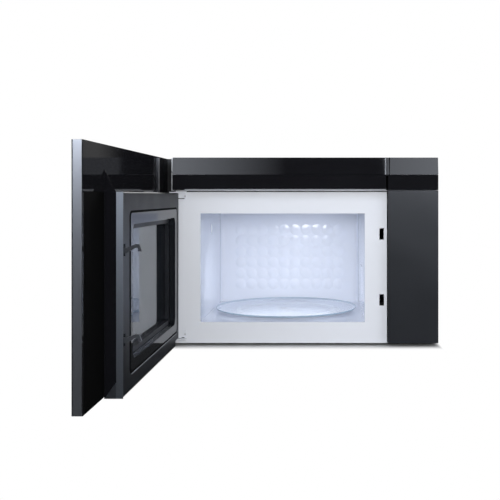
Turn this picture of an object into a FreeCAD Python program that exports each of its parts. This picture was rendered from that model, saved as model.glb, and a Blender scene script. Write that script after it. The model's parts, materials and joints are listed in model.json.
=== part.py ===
import FreeCAD, Part
import math
import os

os.makedirs("parts", exist_ok=True)

# Over-the-range microwave oven, door open as it hangs in use. Millimetres, X right, Y to the wall, Z up.
# The origin is the middle of the rear face, which lies against the wall.

# Cabinet
CABINET_WIDTH = 600.0
CABINET_HEIGHT = 399.0
CABINET_DEPTH = 354.0
SHEET = 1.0
POCKET_WIDTH = 28.0
POCKET_DEPTH = 44.0

# Oven cavity, seen from the front
CAVITY_FROM_LEFT = 90.5
CAVITY_FLOOR_HEIGHT = 45.0
CAVITY_REAR_GAP = 11.0
POWER_BAY_WIDTH = 155.0
HOOD_SPACE_HEIGHT = 119.6
CAVITY_WALL = 0.8
EMBOSS_PITCH = 28.0
EMBOSS_DEPTH = 1.8
EMBOSS_DIAGONAL = 26.0
EMBOSS_FLOOR_GAP = 45.0
EMBOSS_TOP_GAP = 40.0
EMBOSS_SIDE_GAP = 45.0

# Front trims
TRIM_DEPTH = 27.5
TRIM_WALL = 2.5
TOP_TRIM_HEIGHT = 69.3
UPPER_BAND_HEIGHT = 36.4
UPPER_BAND_SLOPE = 5.0
BAND_SEAM = 0.6
RIGHT_TRIM_WIDTH = 107.0
RIGHT_TRIM_LIFT = 4.5
VENT_SLOT_PITCH = 20.0
VENT_END_GAP = 8.0
VENT_SLOT_WIDTH = 12.0
VENT_SLOT_DEPTH = 10.0
VENT_WINDOW_WIDTH = 400.0
VENT_WINDOW_HEIGHT = 40.0

# Door
DOOR_OPEN_ANGLE = 90.3
HINGE_FROM_LEFT = 35.0
HINGE_FORWARD = 11.0
DOOR_CLOSED_GAP = 2.0
PANEL_BACK_OFFSET = 20.0
PANEL_FRAME_DEPTH = 12.0
FRONT_GLASS_THICKNESS = 4.0
PANEL_OVERREACH = 1.0
PANEL_HINGE_OVERHANG = 33.0
PANEL_EDGE_GAP = 1.0
PANEL_BACK_WALL = 2.5
PANEL_RIM = 4.0
CHOKE_TRIM_GAP = 1.1
CHOKE_HINGE_OVERHANG = 8.5
SWING_CLEARANCE = 0.6
CHOKE_TOP_GAP = 75.5
CHOKE_BOTTOM_DROP = 1.5
CHOKE_SHEET = 1.2
COVER_DEPTH = 10.0
COVER_SKIN = 3.0
COVER_CORNER = 3.0
GROOVE_INSET_HINGE = 19.0
GROOVE_INSET_FREE = 43.0
GROOVE_INSET_TOP = 30.5
GROOVE_INSET_BOTTOM = 27.5
GROOVE_WIDTH = 4.0
GROOVE_DEPTH = 2.2
GROOVE_CORNER = 12.0
BEZEL_WIDTH = 21.0
STEP_WIDTH = 11.0
STEP_DEPTH = 11.5
STEP_SKIN = 8.0
WINDOW_CORNER = 8.0
WINDOW_GLASS_THICKNESS = 3.0
WINDOW_SEAT_CLEARANCE = 0.3
SCREEN_THICKNESS = 0.6
SCREEN_BACK = 2.0
GUSSET_HEIGHT = 35.0
GUSSET_DEPTH = 18.0
GUSSET_THICKNESS = 1.5
GUSSET_ROOM = 1.5

# Hinges
PIN_RADIUS = 3.0
PIN_RUNNING_CLEARANCE = 0.05
PIN_HEAD_RADIUS = 4.6
PIN_HEAD_HEIGHT = 2.0
PIN_DEPTH = 14.0
EAR_THICKNESS = 2.2
EAR_GAP = 0.3
EAR_REACH = 9.0
EAR_LEFT = 8.0
EAR_RIGHT = 26.0
BRACKET_LEG_HEIGHT = 19.0
BRACKET_LEG_THICKNESS = 1.2
BRACKET_LEG_LEFT = 8.0
HINGE_NOTCH_HEIGHT = 13.5
BOSS_HALF_LENGTH = 5.3
BOSS_HEIGHT = 16.0
RIVET_RADIUS = 1.8
RIVET_HEAD = 0.5

# Latch
LATCH_FROM_FREE_END = 10.4
LATCH_BAR_WIDTH = 11.0
LATCH_BAR_DEPTH = 5.0
LATCH_BAR_BACK = 9.0
LATCH_TRAVEL = 5.0
HOOK_THICKNESS = 4.5
HOOK_REACH = 28.0
HOOK_RISE = 9.6
HOOK_ARM_HEIGHT = 8.0
HOOK_TIP_LENGTH = 4.0
HOOK_TIP_WIDTH = 6.0
HOOK_TIP_DROP = 1.5
HOOK_FLAT_LENGTH = 6.6
HOOK_FLAT_HEIGHT = 6.0
UPPER_HOOK_BELOW_CAVITY_TOP = 48.4
LOWER_HOOK_ABOVE_FLOOR = 43.5
LATCH_BAR_END = 22.0
ROOT_SLOT_WIDTH = 12.0
ROOT_SLOT_CLEARANCE = 1.0
PLATE_SLOT_WIDTH = 9.7
PLATE_SLOT_HEIGHT = 24.4
PLATE_SLOT_RAISE = 4.4
LATCH_GUIDE_CLEARANCE = 0.3
SPRING_RADIUS = 3.6
SPRING_WIRE = 1.0
SPRING_LENGTH = 24.0
SPRING_POST_RADIUS = 2.0
SPRING_POST_LENGTH = 10.0
SPRING_SEAT_THICKNESS = 3.0

# Interlock
INTERLOCK_FROM_SLOT = 4.0
INTERLOCK_WALL = 4.0
INTERLOCK_DEPTH = 45.0
INTERLOCK_MARGIN = 14.0
INTERLOCK_FLANGE = 14.0
SWITCH_WIDTH = 10.0
SWITCH_DEPTH = 16.0
SWITCH_HEIGHT = 28.0
SWITCH_RAISE = 3.0

# Turntable
TRAY_SIDE_GAP = 5.5
TRAY_THICKNESS = 3.5
TRAY_RIM_HEIGHT = 5.0
TRAY_FLARE = 8.0
ROLLER_RADIUS = 3.0
ROLLER_WIDTH = 8.0
ROLLER_COUNT = 3
ROLLER_RUNNING_GAP = 0.3
ROLLER_FROM_TRAY_RIM = 45.0
AXLE_RADIUS = 1.2
AXLE_RUNNING_CLEARANCE = 0.05
AXLE_PROUD = 2.0
AXLE_HEAD_RADIUS = 2.0
AXLE_SIDE_GAP = 0.3
RING_WIDTH = 8.0
RING_HEIGHT = 4.0
COUPLER_HUB_RADIUS = 13.0
COUPLER_LOBE_COUNT = 3
COUPLER_LOBE_LENGTH = 24.0
COUPLER_LOBE_WIDTH = 8.0
COUPLER_FLOOR_GAP = 0.6
COUPLER_SHAFT_RADIUS = 3.5
COUPLER_SHAFT_CLEARANCE = 0.5
TURNTABLE_MOTOR_RADIUS = 25.0
TURNTABLE_MOTOR_HEIGHT = 16.0

# Microwave power parts in the right bay
WAVEGUIDE_WIDTH = 80.0
WAVEGUIDE_DEPTH = 40.0
WAVEGUIDE_HEIGHT = 120.0
WAVEGUIDE_WALL = 1.2
WAVEGUIDE_FROM_FLOOR = 44.5
WAVEGUIDE_FROM_FRONT = 199.0
WAVEGUIDE_PORT_HEIGHT = 50.0
WAVEGUIDE_PORT_INSET = 8.0
MICA_THICKNESS = 0.8
MICA_OVERLAP = 6.0
MAGNETRON_WIDTH = 78.0
MAGNETRON_DEPTH = 76.0
MAGNETRON_HEIGHT = 90.0
MAGNETRON_YOKE = 3.0
MAGNETRON_CORE_RADIUS = 20.0
MAGNETRON_FIN_COUNT = 7
MAGNETRON_FIN = 1.0
ANTENNA_RADIUS = 7.0
ANTENNA_LENGTH = 28.0
TRANSFORMER_WIDTH = 90.0
TRANSFORMER_DEPTH = 84.0
TRANSFORMER_HEIGHT = 70.0
TRANSFORMER_FROM_RIGHT = 35.0
TRANSFORMER_FROM_FRONT = 204.0
WINDING_PROUD = 14.0
WINDING_MARGIN = 16.0
CAPACITOR_RADIUS = 24.0
CAPACITOR_LENGTH = 90.0
CAPACITOR_FROM_RIGHT = 60.0
CAPACITOR_FROM_FRONT = 69.0
FAN_RADIUS = 50.0
FAN_TIP_GAP = 4.0
FAN_HUB_RADIUS = 12.0
FAN_BLADE_COUNT = 5
FAN_BLADE_THICKNESS = 1.5
FAN_BLADE_PITCH = 32.0
FAN_DEPTH = 22.0
FAN_SHAFT_RADIUS = 2.5
FAN_SHROUD_HALF = 62.0
FAN_SHROUD_DEPTH = 24.0
FAN_FROM_RIGHT = 76.0
FAN_FROM_BOTTOM = 139.5
FAN_MOTOR_HALF = 22.0
FAN_MOTOR_DEPTH = 24.0
FAN_SPIDER_HALF_WIDTH = 6.0
FAN_SPIDER_THICKNESS = 2.0
BOARD_THICKNESS = 1.6
BOARD_LENGTH = 100.0
BOARD_HEIGHT = 120.0
BOARD_FROM_RIGHT = 14.0
BOARD_FROM_FRONT = 84.0
BOARD_FROM_BOTTOM = 209.5
STANDOFF_RADIUS = 3.0
STANDOFF_INSET = 8.0

# Hood blower above the cavity
BLOWER_MID_Y = -120.0
BLOWER_WHEEL_RADIUS = 40.0
BLOWER_WHEEL_WIDTH = 62.0
BLOWER_BLADE_COUNT = 20
BLOWER_BLADE_THICKNESS = 1.2
BLOWER_BLADE_DEPTH = 9.0
BLOWER_DISC = 2.0
BLOWER_SHAFT_RADIUS = 4.0
BLOWER_MOTOR_RADIUS = 36.0
BLOWER_MOTOR_LENGTH = 70.0
BLOWER_MOTOR_GAP = 8.0
BLOWER_HOUSING_WALL = 1.5
BLOWER_HOUSING_GAP = 6.0
BLOWER_INLET_RADIUS = 30.0
BLOWER_CRADLE_WIDTH = 40.0
BLOWER_CRADLE_DEPTH = 50.0
CHARCOAL_WIDTH = 440.0
CHARCOAL_HEIGHT = 96.0
CHARCOAL_DEPTH = 10.0

# Underside and small parts
FILTER_WIDTH = 200.0
FILTER_DEPTH = 130.0
FILTER_THICKNESS = 9.0
FILTER_LIP = 6.0
FILTER_GAP = 40.0
FILTER_BACK = -20.0
LENS_WIDTH = 60.0
LENS_DEPTH = 36.0
LENS_THICKNESS = 2.5
LENS_LIP = 3.0
LENS_SPREAD = 110.0
LENS_FRONT_GAP = 24.0
LAMP_RADIUS = 12.0
LAMP_LENGTH = 22.0
LAMP_BASE_RADIUS = 9.0
LAMP_BASE_LENGTH = 10.0
LAMP_BELOW_TOP = 39.9
TOUCH_BOARD_WIDTH = 90.0
TOUCH_BOARD_HEIGHT = 200.0
TOUCH_BOARD_FROM_FREE_EDGE = 10.0
TOP_BOLT_SPACING = 400.0
TOP_BOLT_RADIUS = 3.5
TOP_BOLT_Y = -60.0
CORD_INLET_RADIUS = 11.0
CORD_INLET_BORE = 5.0
CORD_INLET_FLANGE = 1.5
CORD_INLET_FROM_RIGHT = 60.0
CORD_INLET_Y = -40.0
SCREW_RADIUS = 3.5
SCREW_HEAD = 1.6
SCREW_EDGE = 12.0

# Places worked out from the sizes
V = FreeCAD.Vector
UP = V(0, 0, 1)
LEFT = -CABINET_WIDTH / 2
RIGHT = CABINET_WIDTH / 2
TOP = CABINET_HEIGHT / 2
BOTTOM = -CABINET_HEIGHT / 2
FRONT = -CABINET_DEPTH
POCKET_RIGHT = LEFT + POCKET_WIDTH
POCKET_BACK = FRONT + POCKET_DEPTH
CAVITY_LEFT = LEFT + CAVITY_FROM_LEFT
CAVITY_RIGHT = RIGHT - POWER_BAY_WIDTH
CAVITY_WIDTH = CAVITY_RIGHT - CAVITY_LEFT
CAVITY_FLOOR = BOTTOM + CAVITY_FLOOR_HEIGHT
CAVITY_TOP = TOP - HOOD_SPACE_HEIGHT
CAVITY_HEIGHT = CAVITY_TOP - CAVITY_FLOOR
CAVITY_BACK = -CAVITY_REAR_GAP
CAVITY_DEPTH = CAVITY_BACK - FRONT
EMBOSS_ROWS = 1 + int((CAVITY_HEIGHT - EMBOSS_FLOOR_GAP - EMBOSS_TOP_GAP) / EMBOSS_PITCH)
EMBOSS_COLUMNS = 1 + int((CAVITY_WIDTH - 2 * EMBOSS_SIDE_GAP) / EMBOSS_PITCH)
TRAY_X = (CAVITY_LEFT + CAVITY_RIGHT) / 2
TRAY_Y = (FRONT + CAVITY_BACK) / 2
TRAY_RADIUS = min(CAVITY_WIDTH, CAVITY_DEPTH) / 2 - TRAY_SIDE_GAP
ROLLER_CIRCLE_RADIUS = TRAY_RADIUS - ROLLER_FROM_TRAY_RIM
LAMP_Z = CAVITY_TOP - LAMP_BELOW_TOP
WAVEGUIDE_BACK = FRONT + WAVEGUIDE_FROM_FRONT
WAVEGUIDE_TOP = CAVITY_FLOOR + WAVEGUIDE_FROM_FLOOR + WAVEGUIDE_HEIGHT
TRANSFORMER_BACK = FRONT + TRANSFORMER_FROM_FRONT
BOARD_MID_Y = FRONT + BOARD_FROM_FRONT
BOARD_MID_Z = BOTTOM + BOARD_FROM_BOTTOM
HINGE_X = LEFT + HINGE_FROM_LEFT
HINGE_Y = FRONT - HINGE_FORWARD
TRIM_FRONT = FRONT - TRIM_DEPTH
TOP_TRIM_BOTTOM = TOP - TOP_TRIM_HEIGHT
BAND_LINE = TOP - UPPER_BAND_HEIGHT
RIGHT_TRIM_LEFT = RIGHT - RIGHT_TRIM_WIDTH

# Door places in the closed pose
COVER_FACE = FRONT - DOOR_CLOSED_GAP
COVER_BACK = COVER_FACE - COVER_DEPTH
PANEL_INNER = HINGE_Y - PANEL_BACK_OFFSET
GLASS_BACK = PANEL_INNER - PANEL_FRAME_DEPTH
GLASS_FRONT = GLASS_BACK - FRONT_GLASS_THICKNESS
PANEL_LEFT = HINGE_X - PANEL_HINGE_OVERHANG
PANEL_RIGHT = RIGHT + PANEL_OVERREACH
PANEL_BOTTOM = BOTTOM + PANEL_EDGE_GAP
PANEL_TOP = TOP - PANEL_EDGE_GAP
CHOKE_LEFT = HINGE_X - CHOKE_HINGE_OVERHANG
CHOKE_RIGHT = RIGHT_TRIM_LEFT - CHOKE_TRIM_GAP
CHOKE_TOP = TOP - CHOKE_TOP_GAP
CHOKE_BOTTOM = BOTTOM - CHOKE_BOTTOM_DROP
GROOVE = (CHOKE_LEFT + GROOVE_INSET_HINGE, CHOKE_RIGHT - GROOVE_INSET_FREE,
          CHOKE_BOTTOM + GROOVE_INSET_BOTTOM, CHOKE_TOP - GROOVE_INSET_TOP)
SWING_RADIUS = HINGE_FORWARD - SWING_CLEARANCE
STEP_FACE = COVER_FACE - STEP_DEPTH
STEP_BACK = STEP_FACE - STEP_SKIN
UPPER_HOOK_HEIGHT = CAVITY_TOP - UPPER_HOOK_BELOW_CAVITY_TOP
LOWER_HOOK_HEIGHT = CAVITY_FLOOR + LOWER_HOOK_ABOVE_FLOOR
LATCH_X = CHOKE_RIGHT - LATCH_FROM_FREE_END
LATCH_BACK = COVER_BACK - LATCH_BAR_BACK
LATCH_FRONT = LATCH_BACK + LATCH_BAR_DEPTH
LATCH_TOP = UPPER_HOOK_HEIGHT + LATCH_BAR_END
LATCH_BOTTOM = LOWER_HOOK_HEIGHT - LATCH_BAR_END
HOOK_HEIGHTS = (UPPER_HOOK_HEIGHT, LOWER_HOOK_HEIGHT)
ROOT_SLOT_HEIGHT = HOOK_ARM_HEIGHT + 2 * (LATCH_TRAVEL + ROOT_SLOT_CLEARANCE)
LOWER_NOTCH_TOP = CHOKE_BOTTOM + HINGE_NOTCH_HEIGHT


def save(name, *solids):
    shape = solids[0] if len(solids) == 1 else Part.makeCompound(list(solids))
    shape.exportStep("parts/" + name + ".step")


def box(x0, x1, y0, y1, z0, z1):
    return Part.makeBox(x1 - x0, y1 - y0, z1 - z0, V(x0, y0, z0))


def rod(point, direction, radius, length):
    return Part.makeCylinder(radius, length, V(*point), V(*direction))


def prism(points, along):
    corners = [V(*p) for p in points]
    return Part.Face(Part.makePolygon(corners + corners[:1])).extrude(V(*along))


def grown(rect, step):
    x0, x1, z0, z1 = rect
    return (x0 - step, x1 + step, z0 - step, z1 + step)


# The window's recess in the inner cover, and the wider tunnel through the choke frame that it sits in
RECESS = grown(GROOVE, -BEZEL_WIDTH)
TUNNEL = grown(RECESS, COVER_SKIN + WINDOW_SEAT_CLEARANCE)
SIGHT_HOLE = grown(RECESS, -STEP_WIDTH)


def window(rect, y0, y1, corner):
    """A block with rounded upright corners as seen from the front."""
    x0, x1, z0, z1 = rect
    block = box(x0, x1, y0, y1, z0, z1)
    upright = [e for e in block.Edges if e.BoundBox.YLength > (y1 - y0) / 2]
    return block.makeFillet(corner, upright)


def swing(shape):
    """Turn a door piece from its closed place to the open rest pose."""
    turned = shape.copy()
    turned.rotate(V(HINGE_X, HINGE_Y, 0), UP, -DOOR_OPEN_ANGLE)
    return turned


def ring_of(shape, count, point, axis):
    copies = []
    for index in range(count):
        turned = shape.copy()
        turned.rotate(V(*point), V(*axis), 360.0 * index / count)
        copies.append(turned)
    return copies


def hook_slot(middle, width, tall, face, depth):
    """The see-through slot of one hook on the latch line, cut to a depth behind a face."""
    return box(LATCH_X - width / 2, LATCH_X + width / 2, face - SHEET, face + depth + SHEET,
               middle - tall / 2, middle + tall / 2)


def cabinet():
    outer = box(LEFT, RIGHT, FRONT + SHEET, -SHEET, BOTTOM, TOP)
    hollow = box(LEFT + SHEET, RIGHT - SHEET, FRONT, 0, BOTTOM - SHEET, TOP - SHEET)
    pocket = box(LEFT - SHEET, POCKET_RIGHT + SHEET, FRONT, POCKET_BACK + SHEET,
                 BOTTOM - SHEET, TOP + SHEET)
    wrap = outer.cut([hollow, pocket])
    for side in (-1, 1):
        wrap = wrap.cut(rod((side * TOP_BOLT_SPACING / 2, TOP_BOLT_Y, TOP - 2 * SHEET),
                            (0, 0, 1), TOP_BOLT_RADIUS, 4 * SHEET))
    inlet = (RIGHT - CORD_INLET_FROM_RIGHT, CORD_INLET_Y, TOP - 2 * SHEET)
    wrap = wrap.cut(rod(inlet, (0, 0, 1), CORD_INLET_RADIUS - 2 * CORD_INLET_FLANGE, 4 * SHEET))
    save("outer_cabinet", wrap)
    save("rear_panel", box(LEFT, RIGHT, -SHEET, 0, BOTTOM, TOP))

    wall = box(POCKET_RIGHT, POCKET_RIGHT + SHEET, FRONT + SHEET, POCKET_BACK, BOTTOM, TOP)
    back = box(LEFT, POCKET_RIGHT + SHEET, POCKET_BACK, POCKET_BACK + SHEET, BOTTOM, TOP)
    save("hinge_pocket", wall.fuse(back).removeSplitter())

    grommet = rod((inlet[0], inlet[1], TOP), (0, 0, 1), CORD_INLET_RADIUS, CORD_INLET_FLANGE)
    neck_radius = CORD_INLET_RADIUS - 2 * CORD_INLET_FLANGE
    grommet = grommet.fuse(rod((inlet[0], inlet[1], TOP - SHEET), (0, 0, 1), neck_radius, SHEET))
    bore = rod((inlet[0], inlet[1], TOP - 2 * SHEET), (0, 0, 1), CORD_INLET_BORE,
               3 * SHEET + CORD_INLET_FLANGE)
    save("cord_inlet", grommet.cut(bore))


def front_plate():
    plate = box(POCKET_RIGHT, RIGHT, FRONT, FRONT + SHEET, BOTTOM, TOP)
    opening = box(CAVITY_LEFT, CAVITY_RIGHT, FRONT - SHEET, FRONT + 2 * SHEET, CAVITY_FLOOR, CAVITY_TOP)
    vent_middle = BAND_LINE
    vent = box(-VENT_WINDOW_WIDTH / 2, VENT_WINDOW_WIDTH / 2, FRONT - SHEET, FRONT + 2 * SHEET,
               vent_middle - VENT_WINDOW_HEIGHT / 2, vent_middle + VENT_WINDOW_HEIGHT / 2)
    cuts = [opening, vent]
    for height in HOOK_HEIGHTS:
        cuts.append(hook_slot(height + PLATE_SLOT_RAISE, PLATE_SLOT_WIDTH, PLATE_SLOT_HEIGHT, FRONT, SHEET))
    save("front_plate", plate.cut(cuts))


def cavity_shell():
    wall = CAVITY_WALL
    outer = box(CAVITY_LEFT - wall, CAVITY_RIGHT + wall, FRONT + SHEET, CAVITY_BACK + wall,
                CAVITY_FLOOR - wall, CAVITY_TOP + wall)
    hollow = box(CAVITY_LEFT, CAVITY_RIGHT, FRONT, CAVITY_BACK, CAVITY_FLOOR, CAVITY_TOP)
    shell = outer.cut(hollow)
    first_x = TRAY_X - EMBOSS_PITCH * (EMBOSS_COLUMNS - 1) / 2
    half = EMBOSS_DIAGONAL / 2
    for row in range(EMBOSS_ROWS):
        for column in range(EMBOSS_COLUMNS):
            x = first_x + column * EMBOSS_PITCH
            z = CAVITY_FLOOR + EMBOSS_FLOOR_GAP + row * EMBOSS_PITCH
            shell = shell.fuse(pyramid(x, z, half))
    port = box(CAVITY_RIGHT - wall, CAVITY_RIGHT + 2 * wall, *port_rect())
    shaft = rod((TRAY_X, TRAY_Y, CAVITY_FLOOR - 2 * wall), (0, 0, 1),
                COUPLER_SHAFT_RADIUS + COUPLER_SHAFT_CLEARANCE, 4 * wall)
    lamp = rod((CAVITY_LEFT - 2 * wall, TRAY_Y, LAMP_Z), (1, 0, 0), LAMP_RADIUS, 4 * wall)
    save("cavity_shell", shell.cut([port, shaft, lamp]))

    y0, y1, z0, z1 = port_rect()
    save("waveguide_cover", box(CAVITY_RIGHT - MICA_THICKNESS, CAVITY_RIGHT, y0 - MICA_OVERLAP,
                                y1 + MICA_OVERLAP, z0 - MICA_OVERLAP, z1 + MICA_OVERLAP))


def port_rect():
    y0 = WAVEGUIDE_BACK - WAVEGUIDE_WIDTH + WAVEGUIDE_PORT_INSET
    y1 = WAVEGUIDE_BACK - WAVEGUIDE_PORT_INSET
    z0 = WAVEGUIDE_TOP - WAVEGUIDE_HEIGHT + WAVEGUIDE_PORT_INSET
    return (y0, y1, z0, z0 + WAVEGUIDE_PORT_HEIGHT)


def pyramid(x, z, half):
    """One four-sided emboss on the back wall, its point towards the door."""
    base = [V(x - half, CAVITY_BACK, z), V(x, CAVITY_BACK, z - half),
            V(x + half, CAVITY_BACK, z), V(x, CAVITY_BACK, z + half)]
    tip = V(x, CAVITY_BACK - EMBOSS_DEPTH, z)
    faces = [Part.Face(Part.makePolygon(base + base[:1]))]
    for a, b in zip(base, base[1:] + base[:1]):
        faces.append(Part.Face(Part.makePolygon([a, b, tip, a])))
    return Part.Solid(Part.Shell(faces))


def trims():
    wall = TRIM_WALL
    lower = box(HINGE_X, RIGHT, TRIM_FRONT, FRONT, TOP_TRIM_BOTTOM, BAND_LINE - BAND_SEAM)
    lower = lower.cut(box(HINGE_X + wall, RIGHT - wall, TRIM_FRONT + wall, FRONT + wall,
                          TOP_TRIM_BOTTOM + wall, BAND_LINE - BAND_SEAM - wall))
    gusset_slot = box(CHOKE_RIGHT - GUSSET_THICKNESS - GUSSET_ROOM, CHOKE_RIGHT + GUSSET_ROOM,
                      TRIM_FRONT - SHEET, PANEL_INNER + GUSSET_DEPTH + GUSSET_ROOM,
                      TOP_TRIM_BOTTOM - SHEET, CHOKE_TOP + GUSSET_HEIGHT + GUSSET_ROOM)
    save("lower_top_trim", lower.cut(gusset_slot))

    split = RIGHT_TRIM_LEFT
    for name, x0, x1 in (("upper_top_trim", HINGE_X, split - BAND_SEAM),
                         ("upper_trim_end", split, RIGHT)):
        skin = prism([(x0, TRIM_FRONT, BAND_LINE), (x0, FRONT, BAND_LINE), (x0, FRONT, TOP),
                      (x0, TRIM_FRONT + UPPER_BAND_SLOPE, TOP)], (x1 - x0, 0, 0))
        inner = prism([(x0 + wall, TRIM_FRONT + wall, BAND_LINE + wall),
                       (x0 + wall, FRONT + wall, BAND_LINE + wall),
                       (x0 + wall, FRONT + wall, TOP - wall),
                       (x0 + wall, TRIM_FRONT + UPPER_BAND_SLOPE + wall, TOP - wall)],
                      (x1 - x0 - 2 * wall, 0, 0))
        save(name, skin.cut([inner] + vent_slots(x0 + VENT_END_GAP, x1 - VENT_END_GAP)))

    side = box(RIGHT_TRIM_LEFT, RIGHT, TRIM_FRONT, FRONT, BOTTOM + RIGHT_TRIM_LIFT,
               TOP_TRIM_BOTTOM - BAND_SEAM)
    side = side.cut(box(RIGHT_TRIM_LEFT + wall, RIGHT - wall, TRIM_FRONT + wall, FRONT + wall,
                        BOTTOM + RIGHT_TRIM_LIFT + wall, TOP_TRIM_BOTTOM - BAND_SEAM - wall))
    save("right_trim", side)


def vent_slots(x0, x1):
    """Air slots in the top of a trim, as many as fit between two places, centred."""
    count = 1 + int((x1 - x0 - VENT_SLOT_WIDTH) / VENT_SLOT_PITCH)
    first = (x0 + x1 - (count - 1) * VENT_SLOT_PITCH - VENT_SLOT_WIDTH) / 2
    slots = []
    for index in range(count):
        left = first + index * VENT_SLOT_PITCH
        slots.append(box(left, left + VENT_SLOT_WIDTH, FRONT - VENT_SLOT_DEPTH - TRIM_WALL, FRONT - TRIM_WALL,
                         TOP - 2 * TRIM_WALL, TOP + TRIM_WALL))
    return slots


def hinges():
    pins = []
    rivets = []
    levels = (("upper_hinge_bracket", CHOKE_TOP + EAR_GAP, 1),
              ("lower_hinge_bracket", LOWER_NOTCH_TOP - EAR_GAP, -1))
    for name, seat, side in levels:
        low = seat if side > 0 else seat - EAR_THICKNESS
        ear = box(HINGE_X - EAR_LEFT, HINGE_X + EAR_RIGHT, HINGE_Y - EAR_REACH, FRONT,
                  low, low + EAR_THICKNESS)
        far = low + EAR_THICKNESS if side > 0 else low
        leg_z = (far - BRACKET_LEG_HEIGHT, far) if side > 0 else (BOTTOM, far + BRACKET_LEG_HEIGHT)
        leg = box(HINGE_X + BRACKET_LEG_LEFT, HINGE_X + EAR_RIGHT, FRONT - BRACKET_LEG_THICKNESS, FRONT,
                  leg_z[0], leg_z[1])
        bracket = ear.fuse(leg).removeSplitter()
        head = (HINGE_X, HINGE_Y, far if side > 0 else far - PIN_HEAD_HEIGHT)
        pin = rod(head, (0, 0, 1), PIN_HEAD_RADIUS, PIN_HEAD_HEIGHT)
        shank = EAR_THICKNESS + PIN_DEPTH
        pin = pin.fuse(rod((HINGE_X, HINGE_Y, far), (0, 0, -side), PIN_RADIUS, shank))
        pins.append(pin.removeSplitter())
        bracket = bracket.cut(rod((HINGE_X, HINGE_Y, low - SHEET), (0, 0, 1), PIN_RADIUS,
                                  EAR_THICKNESS + 2 * SHEET))
        rivet_z = far - side * BRACKET_LEG_HEIGHT / 2
        rivet_y = FRONT - BRACKET_LEG_THICKNESS - RIVET_HEAD
        rivets.append(rod((HINGE_X + EAR_RIGHT - 2 * RIVET_RADIUS, rivet_y, rivet_z), (0, 1, 0),
                          RIVET_RADIUS, RIVET_HEAD))
        save(name, bracket)
    save("hinge_pins", *pins)
    save("bracket_rivets", *rivets)


def pin_clearance(radius):
    """The upper and lower pin holes in the door, along the hinge axis."""
    reach = PIN_DEPTH + 2 * EAR_THICKNESS
    upper = rod((HINGE_X, HINGE_Y, CHOKE_TOP + EAR_THICKNESS), (0, 0, -1), radius, reach)
    lower = rod((HINGE_X, HINGE_Y, LOWER_NOTCH_TOP - EAR_THICKNESS), (0, 0, 1), radius, reach)
    return [upper, lower]


def hinge_notch():
    """Room at the lower hinge corner for the fixed ear to turn in."""
    swing_radius = math.hypot(EAR_RIGHT, HINGE_FORWARD) + 2 * EAR_GAP
    return box(CHOKE_LEFT - SHEET, HINGE_X + swing_radius, HINGE_Y - EAR_REACH - 3 * EAR_THICKNESS,
               FRONT, CHOKE_BOTTOM - SHEET, LOWER_NOTCH_TOP)


def door_panel():
    frame = box(PANEL_LEFT, PANEL_RIGHT, GLASS_BACK, PANEL_INNER, PANEL_BOTTOM, PANEL_TOP)
    hollow = box(PANEL_LEFT + PANEL_RIM, PANEL_RIGHT - PANEL_RIM, GLASS_BACK - SHEET,
                 PANEL_INNER - PANEL_BACK_WALL, PANEL_BOTTOM + PANEL_RIM, PANEL_TOP - PANEL_RIM)
    sight = window(SIGHT_HOLE, GLASS_BACK, PANEL_INNER + SHEET, WINDOW_CORNER)
    save("door_panel_frame", swing(frame.cut([hollow, sight])))
    glass = box(PANEL_LEFT, PANEL_RIGHT, GLASS_FRONT, GLASS_BACK, PANEL_BOTTOM, PANEL_TOP)
    save("door_front_glass", swing(glass))
    board_right = PANEL_RIGHT - PANEL_RIM - TOUCH_BOARD_FROM_FREE_EDGE
    board = box(board_right - TOUCH_BOARD_WIDTH, board_right, GLASS_BACK, GLASS_BACK + BOARD_THICKNESS,
                -TOUCH_BOARD_HEIGHT / 2, TOUCH_BOARD_HEIGHT / 2)
    save("touch_board", swing(board))


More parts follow.
